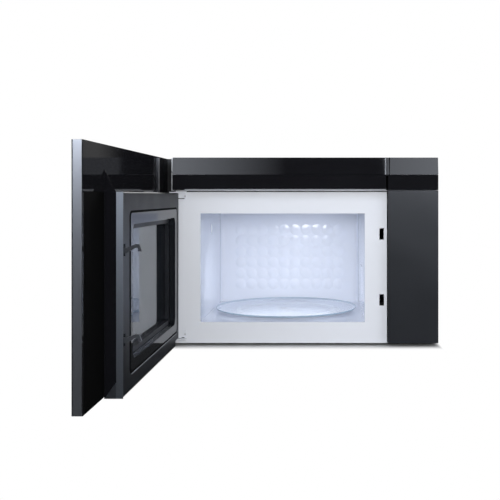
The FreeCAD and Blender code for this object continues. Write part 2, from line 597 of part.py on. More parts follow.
def choke_frame():
    sheet = CHOKE_SHEET
    outer = box(CHOKE_LEFT, CHOKE_RIGHT, PANEL_INNER, COVER_BACK, CHOKE_BOTTOM, CHOKE_TOP)
    channel = box(CHOKE_LEFT + sheet, CHOKE_RIGHT - sheet, PANEL_INNER + sheet, COVER_BACK + sheet,
                  CHOKE_BOTTOM + sheet, CHOKE_TOP - sheet)
    tunnel = window(grown(TUNNEL, sheet), PANEL_INNER, COVER_BACK, WINDOW_CORNER + sheet)
    hole = window(TUNNEL, PANEL_INNER - sheet, COVER_BACK + sheet, WINDOW_CORNER)
    frame = outer.cut(channel).fuse(tunnel)
    bosses = []
    for z0, z1 in ((CHOKE_TOP - COVER_SKIN - BOSS_HEIGHT, CHOKE_TOP - COVER_SKIN),
                   (LOWER_NOTCH_TOP, LOWER_NOTCH_TOP + BOSS_HEIGHT)):
        bosses.append(box(HINGE_X - BOSS_HALF_LENGTH, HINGE_X + BOSS_HALF_LENGTH, PANEL_INNER + sheet,
                          COVER_FACE - COVER_SKIN, z0, z1))
    seat_z = LATCH_TOP + SPRING_LENGTH
    seat = box(LATCH_X - LATCH_BAR_WIDTH / 2, CHOKE_RIGHT - sheet, PANEL_INNER + sheet, COVER_BACK,
               seat_z, seat_z + SPRING_SEAT_THICKNESS)
    rails = []
    for side in (-1, 1):
        near = LATCH_X + side * (LATCH_BAR_WIDTH / 2 + LATCH_GUIDE_CLEARANCE)
        far = near + side * 2 * sheet
        rails.append(box(min(near, far), max(near, far), PANEL_INNER + sheet, LATCH_FRONT,
                         LATCH_BOTTOM, LATCH_TOP))
    stop = box(LATCH_X - LATCH_BAR_WIDTH / 2, LATCH_X + LATCH_BAR_WIDTH / 2, PANEL_INNER + sheet,
               LATCH_FRONT, LATCH_BOTTOM - SPRING_SEAT_THICKNESS, LATCH_BOTTOM)
    frame = frame.fuse(bosses + [seat, stop] + rails)
    gusset = prism([(CHOKE_RIGHT - GUSSET_THICKNESS, PANEL_INNER, CHOKE_TOP),
                    (CHOKE_RIGHT - GUSSET_THICKNESS, PANEL_INNER + GUSSET_DEPTH, CHOKE_TOP),
                    (CHOKE_RIGHT - GUSSET_THICKNESS, PANEL_INNER, CHOKE_TOP + GUSSET_HEIGHT)],
                   (GUSSET_THICKNESS, 0, 0))
    frame = frame.fuse(gusset)
    cuts = [hole, hinge_notch()] + pin_clearance(PIN_RADIUS + PIN_RUNNING_CLEARANCE)
    save("choke_frame", swing(frame.cut(cuts).removeSplitter()))


def swing_corner():
    """What the cover's hinge edge gives up to turn clear of the front plate."""
    low = CHOKE_BOTTOM - SHEET
    high = CHOKE_TOP + SHEET
    corner = box(CHOKE_LEFT - SHEET, HINGE_X, HINGE_Y, COVER_FACE + SHEET, low, high)
    return corner.cut(rod((HINGE_X, HINGE_Y, low), (0, 0, 1), SWING_RADIUS, high - low))


def inner_cover():
    skin = COVER_SKIN
    outer = box(CHOKE_LEFT, CHOKE_RIGHT, COVER_BACK, COVER_FACE, CHOKE_BOTTOM, CHOKE_TOP)
    rim = [e for e in outer.Edges if min(v.Point.y for v in e.Vertexes) > COVER_FACE - SHEET]
    outer = outer.makeFillet(COVER_CORNER, rim)
    channel = box(CHOKE_LEFT + skin, CHOKE_RIGHT - skin, COVER_BACK - skin, COVER_FACE - skin,
                  CHOKE_BOTTOM + skin, CHOKE_TOP - skin)
    groove = window(GROOVE, COVER_FACE - GROOVE_DEPTH, COVER_FACE + SHEET, GROOVE_CORNER)
    groove = groove.cut(window(grown(GROOVE, -GROOVE_WIDTH), COVER_FACE - 2 * GROOVE_DEPTH,
                               COVER_FACE + 2 * SHEET, GROOVE_CORNER - GROOVE_WIDTH))
    wall = window(grown(RECESS, skin), STEP_BACK, COVER_FACE - skin, WINDOW_CORNER + skin)
    recess = window(RECESS, STEP_FACE, COVER_FACE + SHEET, WINDOW_CORNER)
    hole = window(SIGHT_HOLE, STEP_BACK - SHEET, COVER_FACE, WINDOW_CORNER)
    cover = outer.cut(channel).fuse(wall).cut([groove, recess, hole, hinge_notch(), swing_corner()])
    for height in HOOK_HEIGHTS:
        cover = cover.cut(hook_slot(height, ROOT_SLOT_WIDTH, ROOT_SLOT_HEIGHT, COVER_FACE - skin, skin))
    cover = cover.cut(pin_clearance(PIN_RADIUS + EAR_GAP))
    save("inner_door_cover", swing(cover.removeSplitter()))

    seat = grown(TUNNEL, -WINDOW_SEAT_CLEARANCE)
    glass_back = STEP_BACK - WINDOW_GLASS_THICKNESS
    save("window_glass", swing(window(seat, glass_back, STEP_BACK, WINDOW_CORNER)))
    mesh_front = glass_back - SCREEN_BACK
    save("door_screen", swing(window(TUNNEL, mesh_front - SCREEN_THICKNESS, mesh_front, WINDOW_CORNER)))


def latch():
    bar = box(LATCH_X - LATCH_BAR_WIDTH / 2, LATCH_X + LATCH_BAR_WIDTH / 2, LATCH_BACK, LATCH_FRONT,
              LATCH_BOTTOM, LATCH_TOP)
    half = HOOK_ARM_HEIGHT / 2
    end = COVER_FACE + HOOK_REACH
    flat = end - HOOK_TIP_LENGTH - HOOK_FLAT_LENGTH
    knee = COVER_FACE + HOOK_TIP_LENGTH
    for z in HOOK_HEIGHTS:
        top = z + HOOK_RISE
        under = top - HOOK_FLAT_HEIGHT
        outline = [(LATCH_FRONT, z - half), (knee, z - half), (flat, under),
                   (flat + HOOK_FLAT_LENGTH - half / 2, under), (end - HOOK_TIP_WIDTH, z - HOOK_TIP_DROP),
                   (end, z - HOOK_TIP_DROP), (end - HOOK_TIP_LENGTH, top), (flat, top), (knee, z + half),
                   (LATCH_FRONT, z + half)]
        points = [(LATCH_X - HOOK_THICKNESS / 2, y, height) for y, height in outline]
        bar = bar.fuse(prism(points, (HOOK_THICKNESS, 0, 0)))
    middle = (LATCH_BACK + LATCH_FRONT) / 2
    bar = bar.fuse(rod((LATCH_X, middle, LATCH_TOP), (0, 0, 1), SPRING_POST_RADIUS, SPRING_POST_LENGTH))
    save("latch_bar", swing(bar.removeSplitter()))

    foot = (LATCH_X, middle, LATCH_TOP)
    spring = rod(foot, (0, 0, 1), SPRING_RADIUS, SPRING_LENGTH)
    spring = spring.cut(rod(foot, (0, 0, 1), SPRING_RADIUS - SPRING_WIRE, SPRING_LENGTH))
    save("latch_spring", swing(spring))


def interlock():
    x0 = LATCH_X + PLATE_SLOT_WIDTH / 2 + INTERLOCK_FROM_SLOT
    x1 = x0 + INTERLOCK_WALL
    low = LOWER_HOOK_HEIGHT - INTERLOCK_MARGIN - PLATE_SLOT_HEIGHT / 2
    high = UPPER_HOOK_HEIGHT + INTERLOCK_MARGIN + PLATE_SLOT_HEIGHT / 2
    back = FRONT + SHEET
    wall = box(x0, x1, back, back + INTERLOCK_DEPTH, low, high)
    flange = box(x0, x1 + INTERLOCK_FLANGE, back, back + INTERLOCK_WALL, low, high)
    save("interlock_bracket", wall.fuse(flange).removeSplitter())
    switch_back = back + INTERLOCK_WALL
    switches = []
    for hook in (UPPER_HOOK_HEIGHT, (UPPER_HOOK_HEIGHT + LOWER_HOOK_HEIGHT) / 2, LOWER_HOOK_HEIGHT):
        z = hook + SWITCH_RAISE
        switches.append(box(x1, x1 + SWITCH_WIDTH, switch_back, switch_back + SWITCH_DEPTH,
                            z - SWITCH_HEIGHT / 2, z + SWITCH_HEIGHT / 2))
    save("interlock_switches", *switches)


def turntable():
    floor = CAVITY_FLOOR
    axis = (TRAY_X, TRAY_Y)
    lift = 2 * ROLLER_RADIUS + 2 * ROLLER_RUNNING_GAP
    base = floor + lift
    inner = TRAY_RADIUS - TRAY_FLARE
    outline = [(0, base), (inner, base), (TRAY_RADIUS, base + TRAY_RIM_HEIGHT),
               (TRAY_RADIUS - TRAY_THICKNESS, base + TRAY_RIM_HEIGHT),
               (inner - TRAY_THICKNESS / 2, base + TRAY_THICKNESS), (0, base + TRAY_THICKNESS)]
    corners = [V(axis[0] + r, axis[1], z) for r, z in outline]
    section = Part.Face(Part.makePolygon(corners + corners[:1]))
    save("glass_tray", section.revolve(V(axis[0], axis[1], 0), UP, 360.0))

    hub = rod((axis[0], axis[1], floor + COUPLER_FLOOR_GAP), (0, 0, 1), COUPLER_HUB_RADIUS,
              lift - COUPLER_FLOOR_GAP)
    lobe = box(axis[0], axis[0] + COUPLER_LOBE_LENGTH, axis[1] - COUPLER_LOBE_WIDTH / 2,
               axis[1] + COUPLER_LOBE_WIDTH / 2, base - lift / 2, base)
    hub = hub.fuse(ring_of(lobe, COUPLER_LOBE_COUNT, (axis[0], axis[1], 0), (0, 0, 1)))
    shaft_low = floor - CAVITY_WALL - COUPLER_SHAFT_CLEARANCE
    shaft = rod((axis[0], axis[1], shaft_low), (0, 0, 1), COUPLER_SHAFT_RADIUS, lift)
    save("turntable_coupler", hub.fuse(shaft).removeSplitter())

    ring_mid = floor + ROLLER_RUNNING_GAP + ROLLER_RADIUS
    outer = ROLLER_CIRCLE_RADIUS - ROLLER_WIDTH / 2 - AXLE_SIDE_GAP
    ring = rod((axis[0], axis[1], ring_mid - RING_HEIGHT / 2), (0, 0, 1), outer, RING_HEIGHT)
    ring = ring.cut(rod((axis[0], axis[1], ring_mid - RING_HEIGHT), (0, 0, 1), outer - RING_WIDTH,
                        2 * RING_HEIGHT))
    axle_length = ROLLER_WIDTH + 2 * AXLE_SIDE_GAP + AXLE_PROUD + RING_WIDTH / 2
    start = outer - RING_WIDTH / 2
    axle = rod((axis[0] + start, axis[1], ring_mid), (1, 0, 0), AXLE_RADIUS, axle_length)
    head = rod((axis[0] + outer + ROLLER_WIDTH + 2 * AXLE_SIDE_GAP, axis[1], ring_mid), (1, 0, 0),
               AXLE_HEAD_RADIUS, AXLE_PROUD)
    ring = ring.fuse(ring_of(axle.fuse(head), ROLLER_COUNT, (axis[0], axis[1], 0), (0, 0, 1)))
    save("roller_ring", ring.removeSplitter())

    roller = rod((axis[0] + outer + AXLE_SIDE_GAP, axis[1], ring_mid), (1, 0, 0), ROLLER_RADIUS, ROLLER_WIDTH)
    roller = roller.cut(rod((axis[0] + outer, axis[1], ring_mid), (1, 0, 0),
                            AXLE_RADIUS + AXLE_RUNNING_CLEARANCE, 2 * ROLLER_WIDTH))
    for index, turned in enumerate(ring_of(roller, ROLLER_COUNT, (axis[0], axis[1], 0), (0, 0, 1))):
        save("tray_roller_%d" % (index + 1), turned)

    motor_top = floor - CAVITY_WALL
    motor = rod((axis[0], axis[1], motor_top - TURNTABLE_MOTOR_HEIGHT), (0, 0, 1), TURNTABLE_MOTOR_RADIUS,
                TURNTABLE_MOTOR_HEIGHT)
    socket = rod((axis[0], axis[1], shaft_low - COUPLER_SHAFT_CLEARANCE), (0, 0, 1),
                 COUPLER_SHAFT_RADIUS + COUPLER_SHAFT_CLEARANCE, lift)
    save("turntable_motor", motor.cut(socket))


def power_parts():
    wall = WAVEGUIDE_WALL
    x0 = CAVITY_RIGHT + CAVITY_WALL
    x1 = x0 + WAVEGUIDE_DEPTH
    y0 = WAVEGUIDE_BACK - WAVEGUIDE_WIDTH
    z0 = WAVEGUIDE_TOP - WAVEGUIDE_HEIGHT
    guide = box(x0, x1, y0, WAVEGUIDE_BACK, z0, WAVEGUIDE_TOP)
    guide = guide.cut(box(x0 + wall, x1 - wall, y0 + wall, WAVEGUIDE_BACK - wall,
                          z0 + wall, WAVEGUIDE_TOP - wall))
    guide = guide.cut(box(x0 - wall, x0 + 2 * wall, *port_rect()))
    mid_y = (y0 + WAVEGUIDE_BACK) / 2
    mid_z = WAVEGUIDE_TOP - MAGNETRON_HEIGHT / 2
    mouth = rod((x1 - 2 * wall, mid_y, mid_z), (1, 0, 0), ANTENNA_RADIUS + 2 * wall, 3 * wall)
    save("waveguide", guide.cut(mouth))

    half_y = MAGNETRON_DEPTH / 2
    half_z = MAGNETRON_HEIGHT / 2
    yoke = box(x1, x1 + MAGNETRON_WIDTH, mid_y - half_y, mid_y + half_y, mid_z - half_z, mid_z + half_z)
    yoke = yoke.cut(box(x1 + MAGNETRON_YOKE, x1 + MAGNETRON_WIDTH - MAGNETRON_YOKE, mid_y - half_y - wall,
                        mid_y + half_y + wall, mid_z - half_z + MAGNETRON_YOKE,
                        mid_z + half_z - MAGNETRON_YOKE))
    core = rod((x1, mid_y, mid_z), (1, 0, 0), MAGNETRON_CORE_RADIUS, MAGNETRON_WIDTH)
    antenna = rod((x1 - ANTENNA_LENGTH, mid_y, mid_z), (1, 0, 0), ANTENNA_RADIUS, ANTENNA_LENGTH + wall)
    pitch = MAGNETRON_WIDTH / (MAGNETRON_FIN_COUNT + 1)
    fins = []
    for index in range(MAGNETRON_FIN_COUNT):
        x = x1 + pitch * (index + 1)
        fins.append(box(x - MAGNETRON_FIN / 2, x + MAGNETRON_FIN / 2, mid_y - half_y + MAGNETRON_YOKE,
                        mid_y + half_y - MAGNETRON_YOKE, mid_z - half_z, mid_z + half_z))
    save("magnetron", yoke.fuse([core, antenna] + fins).removeSplitter())

    floor = BOTTOM + SHEET
    right = RIGHT - TRANSFORMER_FROM_RIGHT
    left = right - TRANSFORMER_WIDTH
    front = TRANSFORMER_BACK - TRANSFORMER_DEPTH
    save("transformer_core", box(left, right, front, TRANSFORMER_BACK, floor, floor + TRANSFORMER_HEIGHT))
    coils = []
    for y, step in ((front, -WINDING_PROUD), (TRANSFORMER_BACK, WINDING_PROUD)):
        coils.append(box(left + WINDING_MARGIN, right - WINDING_MARGIN, min(y, y + step), max(y, y + step),
                         floor + WINDING_MARGIN, floor + TRANSFORMER_HEIGHT - WINDING_MARGIN))
    save("transformer_windings", *coils)
    can = (RIGHT - CAPACITOR_FROM_RIGHT, FRONT + CAPACITOR_FROM_FRONT, floor)
    save("capacitor", rod(can, (0, 0, 1), CAPACITOR_RADIUS, CAPACITOR_LENGTH))

    board_x = RIGHT - BOARD_FROM_RIGHT
    board = box(board_x - BOARD_THICKNESS, board_x,
                BOARD_MID_Y - BOARD_LENGTH / 2, BOARD_MID_Y + BOARD_LENGTH / 2,
                BOARD_MID_Z - BOARD_HEIGHT / 2, BOARD_MID_Z + BOARD_HEIGHT / 2)
    save("control_board", board)
    posts = []
    for sy in (-1, 1):
        for sz in (-1, 1):
            y = BOARD_MID_Y + sy * (BOARD_LENGTH / 2 - STANDOFF_INSET)
            z = BOARD_MID_Z + sz * (BOARD_HEIGHT / 2 - STANDOFF_INSET)
            posts.append(rod((board_x, y, z), (1, 0, 0), STANDOFF_RADIUS, RIGHT - SHEET - board_x))
    save("board_standoffs", *posts)


def cooling_fan():
    x = RIGHT - FAN_FROM_RIGHT
    z = BOTTOM + FAN_FROM_BOTTOM
    motor_back = -SHEET
    motor_front = motor_back - FAN_MOTOR_DEPTH
    fan_back = motor_front - FAN_SPIDER_THICKNESS - FAN_TIP_GAP
    fan_front = fan_back - FAN_DEPTH
    motor = box(x - FAN_MOTOR_HALF, x + FAN_MOTOR_HALF, motor_front, motor_back,
                z - FAN_MOTOR_HALF, z + FAN_MOTOR_HALF)
    bore_radius = FAN_SHAFT_RADIUS + PIN_RUNNING_CLEARANCE
    shaft_length = FAN_TIP_GAP + FAN_SPIDER_THICKNESS + FAN_MOTOR_DEPTH / 2
    motor = motor.cut(rod((x, motor_front - SHEET, z), (0, 1, 0), bore_radius,
                          FAN_MOTOR_DEPTH / 2 + 2 * SHEET))
    save("cooling_fan_motor", motor)

    hole = FAN_RADIUS + FAN_TIP_GAP
    spider_front = motor_front - FAN_SPIDER_THICKNESS
    shroud = box(x - FAN_SHROUD_HALF, x + FAN_SHROUD_HALF, spider_front - FAN_SHROUD_DEPTH, motor_front,
                 z - FAN_SHROUD_HALF, z + FAN_SHROUD_HALF)
    shroud = shroud.cut(rod((x, motor_front - 2 * FAN_SHROUD_DEPTH, z), (0, 1, 0), hole,
                            3 * FAN_SHROUD_DEPTH))
    for wide, tall in ((FAN_SHROUD_HALF, FAN_SPIDER_HALF_WIDTH), (FAN_SPIDER_HALF_WIDTH, FAN_SHROUD_HALF)):
        shroud = shroud.fuse(box(x - wide, x + wide, spider_front, motor_front, z - tall, z + tall))
    shroud = shroud.cut(rod((x, motor_front - 2 * FAN_SPIDER_THICKNESS, z), (0, 1, 0),
                            FAN_SHAFT_RADIUS + FAN_TIP_GAP / 4, 3 * FAN_SPIDER_THICKNESS))
    save("cooling_fan_shroud", shroud.removeSplitter())

    hub = rod((x, fan_front, z), (0, 1, 0), FAN_HUB_RADIUS, FAN_DEPTH)
    hub = hub.fuse(rod((x, fan_back, z), (0, 1, 0), FAN_SHAFT_RADIUS, shaft_length))
    blade = box(-FAN_DEPTH / 2, FAN_DEPTH / 2, -FAN_BLADE_THICKNESS / 2, FAN_BLADE_THICKNESS / 2,
                0, FAN_RADIUS)
    blade.rotate(V(0, 0, 0), UP, FAN_BLADE_PITCH)
    blade.translate(V(x, (fan_front + fan_back) / 2, z))
    blades = ring_of(blade, FAN_BLADE_COUNT, (x, 0, z), (0, 1, 0))
    save("cooling_fan_blade", hub.fuse(blades).removeSplitter())


def hood_blower():
    y = BLOWER_MID_Y
    deck = CAVITY_TOP + CAVITY_WALL
    z = (deck + TOP - SHEET) / 2
    half_motor = BLOWER_MOTOR_LENGTH / 2
    motor = rod((-half_motor, y, z), (1, 0, 0), BLOWER_MOTOR_RADIUS, BLOWER_MOTOR_LENGTH)
    bore = rod((-BLOWER_MOTOR_LENGTH, y, z), (1, 0, 0), BLOWER_SHAFT_RADIUS + PIN_RUNNING_CLEARANCE,
               2 * BLOWER_MOTOR_LENGTH)
    save("blower_motor", motor.cut(bore))
    cradle = box(-BLOWER_CRADLE_WIDTH / 2, BLOWER_CRADLE_WIDTH / 2, y - BLOWER_CRADLE_DEPTH / 2,
                 y + BLOWER_CRADLE_DEPTH / 2, deck, z)
    save("blower_cradle", cradle.cut(rod((-half_motor, y, z), (1, 0, 0), BLOWER_MOTOR_RADIUS,
                                         BLOWER_MOTOR_LENGTH)))

    near = half_motor + BLOWER_MOTOR_GAP
    far = near + BLOWER_WHEEL_WIDTH
    wheels = rod((-near - BLOWER_DISC, y, z), (1, 0, 0), BLOWER_SHAFT_RADIUS, 2 * (near + BLOWER_DISC))
    blade = box(near, far, y - BLOWER_BLADE_THICKNESS / 2, y + BLOWER_BLADE_THICKNESS / 2,
                z + BLOWER_WHEEL_RADIUS - BLOWER_BLADE_DEPTH, z + BLOWER_WHEEL_RADIUS)
    half_wheel = rod((near, y, z), (1, 0, 0), BLOWER_WHEEL_RADIUS, BLOWER_DISC)
    half_wheel = half_wheel.fuse(ring_of(blade, BLOWER_BLADE_COUNT, (0, y, z), (1, 0, 0)))
    band = rod((far - BLOWER_DISC, y, z), (1, 0, 0), BLOWER_WHEEL_RADIUS, BLOWER_DISC)
    band = band.cut(rod((near, y, z), (1, 0, 0), BLOWER_WHEEL_RADIUS - BLOWER_BLADE_DEPTH,
                        2 * BLOWER_WHEEL_WIDTH))
    half_wheel = half_wheel.fuse(band).removeSplitter()
    other = half_wheel.mirror(V(0, 0, 0), V(1, 0, 0))
    save("blower_wheels", wheels.fuse([half_wheel, other]).removeSplitter())

    wall = BLOWER_HOUSING_WALL
    room = BLOWER_WHEEL_RADIUS + BLOWER_HOUSING_GAP
    shells = []
    for side in (-1, 1):
        ends = (near - wall - BLOWER_HOUSING_GAP / 2, far + wall + BLOWER_HOUSING_GAP / 2)
        x0 = min(side * end for end in ends)
        x1 = max(side * end for end in ends)
        shell = box(x0, x1, y - room - wall, y + room + wall, deck, z + room)
        shell = shell.cut(box(x0 + wall, x1 - wall, y - room, y + room, deck + wall, z + room + wall))
        inlet = rod((min(0, side * 2 * far), y, z), (1, 0, 0), BLOWER_INLET_RADIUS, 2 * far)
        shells.append(shell.cut(inlet))
    save("blower_housings", *shells)

    filter_back = FRONT + SHEET + CHARCOAL_DEPTH
    save("charcoal_filter", box(-CHARCOAL_WIDTH / 2, CHARCOAL_WIDTH / 2, FRONT + SHEET, filter_back,
                                deck, deck + CHARCOAL_HEIGHT))


def underside():
    floor = BOTTOM + SHEET
    plate = box(LEFT + SHEET, RIGHT - SHEET, FRONT + SHEET, -SHEET, BOTTOM, floor)
    plate = plate.cut(box(LEFT, POCKET_RIGHT + SHEET, FRONT, POCKET_BACK + SHEET,
                          BOTTOM - SHEET, floor + SHEET))
    for side, name in ((-1, "left_grease_filter"), (1, "right_grease_filter")):
        x0 = side * (FILTER_GAP + FILTER_WIDTH) / 2 - FILTER_WIDTH / 2
        y0 = FILTER_BACK - FILTER_DEPTH
        plate = plate.cut(box(x0 + FILTER_LIP, x0 + FILTER_WIDTH - FILTER_LIP, y0 + FILTER_LIP,
                              FILTER_BACK - FILTER_LIP, BOTTOM - SHEET, floor + SHEET))
        save(name, box(x0, x0 + FILTER_WIDTH, y0, FILTER_BACK, floor, floor + FILTER_THICKNESS))
        lens_x = side * LENS_SPREAD - LENS_WIDTH / 2
        lens_y = FRONT + LENS_FRONT_GAP
        plate = plate.cut(box(lens_x + LENS_LIP, lens_x + LENS_WIDTH - LENS_LIP, lens_y + LENS_LIP,
                              lens_y + LENS_DEPTH - LENS_LIP, BOTTOM - SHEET, floor + SHEET))
        lens = box(lens_x, lens_x + LENS_WIDTH, lens_y, lens_y + LENS_DEPTH, floor, floor + LENS_THICKNESS)
        save(name.replace("grease_filter", "cooktop_lens"), lens)
    save("base_plate", plate)
    screws = []
    for x in (POCKET_RIGHT + 2 * SCREW_EDGE, 0, RIGHT - SCREW_EDGE):
        for y in (FRONT + SCREW_EDGE, -SCREW_EDGE):
            screws.append(rod((x, y, BOTTOM - SCREW_HEAD), (0, 0, 1), SCREW_RADIUS, SCREW_HEAD))
    save("case_screws", *screws)


def cavity_lamp():
    base_x = CAVITY_LEFT - CAVITY_WALL
    bulb = rod((base_x - LAMP_LENGTH, TRAY_Y, LAMP_Z), (1, 0, 0), LAMP_RADIUS - SHEET, LAMP_LENGTH)
    flange = rod((base_x - SHEET, TRAY_Y, LAMP_Z), (1, 0, 0), LAMP_RADIUS + 2 * SHEET, SHEET)
    socket = rod((base_x - LAMP_LENGTH - LAMP_BASE_LENGTH, TRAY_Y, LAMP_Z), (1, 0, 0),
                 LAMP_BASE_RADIUS, LAMP_BASE_LENGTH)
    save("cavity_lamp", bulb.fuse([flange, socket]).removeSplitter())


cabinet()
front_plate()
cavity_shell()
trims()
hinges()
door_panel()
choke_frame()
inner_cover()
latch()
interlock()
turntable()
power_parts()
cooling_fan()
hood_blower()
underside()
cavity_lamp()
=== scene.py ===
import json
import math
import bmesh
import bpy
import numpy as np
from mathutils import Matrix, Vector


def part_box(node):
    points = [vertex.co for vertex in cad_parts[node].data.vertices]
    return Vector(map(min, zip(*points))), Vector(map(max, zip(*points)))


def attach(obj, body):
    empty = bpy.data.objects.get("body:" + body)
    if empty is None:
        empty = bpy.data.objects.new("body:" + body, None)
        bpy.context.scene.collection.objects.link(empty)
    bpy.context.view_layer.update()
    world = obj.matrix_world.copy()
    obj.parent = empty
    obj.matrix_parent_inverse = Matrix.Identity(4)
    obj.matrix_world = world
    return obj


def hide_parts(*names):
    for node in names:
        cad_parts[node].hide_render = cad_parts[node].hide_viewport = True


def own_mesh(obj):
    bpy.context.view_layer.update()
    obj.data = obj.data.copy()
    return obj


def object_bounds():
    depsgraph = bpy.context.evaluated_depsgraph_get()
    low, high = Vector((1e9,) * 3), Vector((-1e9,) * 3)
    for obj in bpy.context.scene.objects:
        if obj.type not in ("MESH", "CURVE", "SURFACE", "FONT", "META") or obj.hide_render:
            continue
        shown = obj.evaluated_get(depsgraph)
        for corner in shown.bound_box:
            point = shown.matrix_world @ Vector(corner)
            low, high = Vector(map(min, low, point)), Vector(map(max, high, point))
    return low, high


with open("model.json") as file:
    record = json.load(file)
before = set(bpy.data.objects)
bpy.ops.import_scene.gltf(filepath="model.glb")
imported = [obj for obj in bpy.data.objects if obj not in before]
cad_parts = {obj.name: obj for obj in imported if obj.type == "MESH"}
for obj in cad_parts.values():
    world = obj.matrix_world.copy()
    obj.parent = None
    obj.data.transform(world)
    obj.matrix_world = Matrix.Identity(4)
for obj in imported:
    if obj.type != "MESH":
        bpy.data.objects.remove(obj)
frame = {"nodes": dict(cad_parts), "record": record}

CAD_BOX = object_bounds()
MM = 0.001
WHITE = (1.0, 1.0, 1.0, 1.0)

# The photograph's view: the camera looks square at the oven's front
PHOTO_PIXELS = 500.0
PRINCIPAL_X = 324.7
PRINCIPAL_Y = 196.6
FOCAL_PIXELS = 794.0
SENSOR_WIDTH = 36.0
EYE_X = 0.0586
EYE_Z = 0.1163
EYE_TO_FRONT_PLATE = 1.7137
CLIP_END = 50.0

# Floor and room
FLOOR_DROP = 0.004
FLOOR_HALF = 6.0
# The floor's lit grey near the oven: partly real shadow, partly painted shade
FLOOR_SHADE_GREY = (0.66, 0.66, 0.655, 1.0)
FLOOR_ROUGHNESS = 0.9
FLOOR_SHADE_REACH = 0.05
FLOOR_SIDE_SHARE = 5.0
FLOOR_MIRROR = 0.035
ROOM_FILL = (0.20, 0.20, 0.205, 1.0)
ROOM_FRONT = (0.40, 0.41, 0.43, 1.0)
ROOM_DARK = (0.012, 0.012, 0.014, 1.0)
ROOM_BACK = 0.22
ROOM_BACK_SLOPE = (0.262, 0.305)
ROOM_SIDE = 0.45
ROOM_SIDE_SLOPE = (0.50, 0.80)
ROOM_AHEAD_LEAST = 0.001

# Lamps and softboxes
EYE_LIGHT_WATTS = 14.0
EYE_LIGHT_SIZE = 0.30
EYE_LIGHT_SHIFT = (0.03, 0.08)
REAR_LIGHT_PLACE = (0.0, 2.2, 1.5)
REAR_LIGHT_SIZE = (2.4, 0.9)
REAR_LIGHT_WATTS = 45.0
REAR_LIGHT_TILT = 32.0
SOFTBOX_Y = -2.25
SOFTBOX_LOW = 0.42
SOFTBOX_HIGH = 1.75
SOFTBOX_TINT = (0.93, 0.985, 1.09, 1.0)
SOFTBOX_DIFFUSE_SHARE = 0.15
LEFT_SOFTBOX = (-1.65, -0.12)
LEFT_SOFTBOX_FADE = (-0.60, -0.12)
LEFT_SOFTBOX_POWER = 5.5
RIGHT_SOFTBOX = (0.334, 1.65)
RIGHT_SOFTBOX_FADE = (1.10, -0.35)
RIGHT_SOFTBOX_POWER = 9.0
CAVITY_LAMP_WATTS = 0.035
CAVITY_LAMP_SIZE = 0.03
CAVITY_LAMP_PLACE = (0.010, -0.110)
CAVITY_LAMP_DROP = 0.008
CAVITY_GLINT_WATTS = 0.22
CAVITY_GLINT_SIZE = 0.095
CAVITY_GLINT_PLACE = (0.003, -0.116)
CAVITY_FILL_WATTS = 0.28
CAVITY_FILL_INSET = 0.006
CAVITY_FILL_RAISE = 0.030
CAVITY_FILL_SIDE_GAP = 0.055
CAVITY_FILL_HEIGHT = 0.60
CAVITY_FILL_SPREAD = 160.0
CAVITY_FILL_TILT = 25.0

# Places taken from the frame
PLATE_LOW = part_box("front_plate")[0]
CAVITY_LOW, CAVITY_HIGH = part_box("cavity_shell")
TRAY_LOW, TRAY_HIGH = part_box("glass_tray")
TRAY_CENTRE = (np.array(TRAY_LOW) + np.array(TRAY_HIGH)) / 2
TRAY_RADIUS = (TRAY_HIGH[0] - TRAY_LOW[0]) / 2
LOWER_TRIM_LOW, LOWER_TRIM_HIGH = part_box("lower_top_trim")
RIGHT_TRIM_LOW, RIGHT_TRIM_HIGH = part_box("right_trim")

# Thin pieces stand off the face behind them by the gap; a share of their thickness rounds their edges
LINER = 0.3 * MM
FACE_GAP = LINER / 8
SKIN_ROUND = 1 / 4
LINE_ROUND = 1 / 3
POLE_SHARE = 1 / 50
SMALLEST_CORNER = 0.5 * MM

# Inner door cover, in from its edges
GROOVE_INSET_HINGE = 19.0 * MM
GROOVE_INSET_FREE = 43.0 * MM
GROOVE_INSET_TOP = 30.5 * MM
GROOVE_INSET_BOTTOM = 27.5 * MM
# The groove is covered by a black band of painted shade, wider at the free side
GROOVE_WIDTH = 4.0 * MM
GROOVE_FREE_WIDTH = 9.0 * MM
GROOVE_CORNER = 12.0 * MM
BEZEL_WIDTH = 21.0 * MM
BEZEL_SKIN = 0.15 * MM
RECESS_DEPTH = 11.5 * MM
RECESS_CORNER = 15.0 * MM
RECESS_STEP = 1.3 * MM
RECESS_STEPS = 3
BEAD_RADIUS = 0.8 * MM
BEAD_ROUND = 0.9
SKIRT_DEPTH = 10.0 * MM
END_SKIN = 0.2 * MM
END_SKIN_PROUD = 0.8 * MM
FLUTES = 16
FLUTE_TURN = 26.0
WEB_HEIGHT = 26.0 * MM

# Door panel's free edge and inner face
STRIP_PROUD = 0.4 * MM
EDGE_GLASS_SHOWS = 1.5 * MM
EDGE_FRAME_SHOWS = 1.3 * MM
EDGE_ROUND = 0.3 * MM
FILM_GAP = 1.0 * MM
FILM_MARGIN = 2.5 * MM
FILM_DROP = 35.0 * MM

# Front trims
# The seam is a dark strip of painted shade under the top trim
SEAM_DROP = 2.0 * MM
SEAM_HEIGHT = 2.0 * MM
SEAM_PROUD = 0.25 * MM
LIP_PROUD = 0.5 * MM
LIP_HEIGHT = 2.0 * MM
LIP_END_GAP = 3.5 * MM
END_EDGE_BEFORE = 6.2 * MM
END_JOINT_PAST = 2.6 * MM
END_LINE_WIDTH = 1.4 * MM
SIDE_SKIN = 0.2 * MM
NOTCH_BACK_PAST = 8.0 * MM

# Hinge brackets and pins
SLOT_INSET = 1.5 * MM
SLOT_HEIGHT = 1.6 * MM
UPPER_SLOT_RAISE = 3.9 * MM
UPPER_SLOT_LENGTH = 14.0 * MM
LOWER_SLOT_RAISE = 14.5 * MM
LOWER_SLOT_LENGTH = 6.0 * MM
PIN_HEAD_RADIUS = 4.6 * MM
PIN_HEAD_RISE = 1.2 * MM
PIN_HEAD_STEPS = 9
PIN_HEAD_SIDES = 32

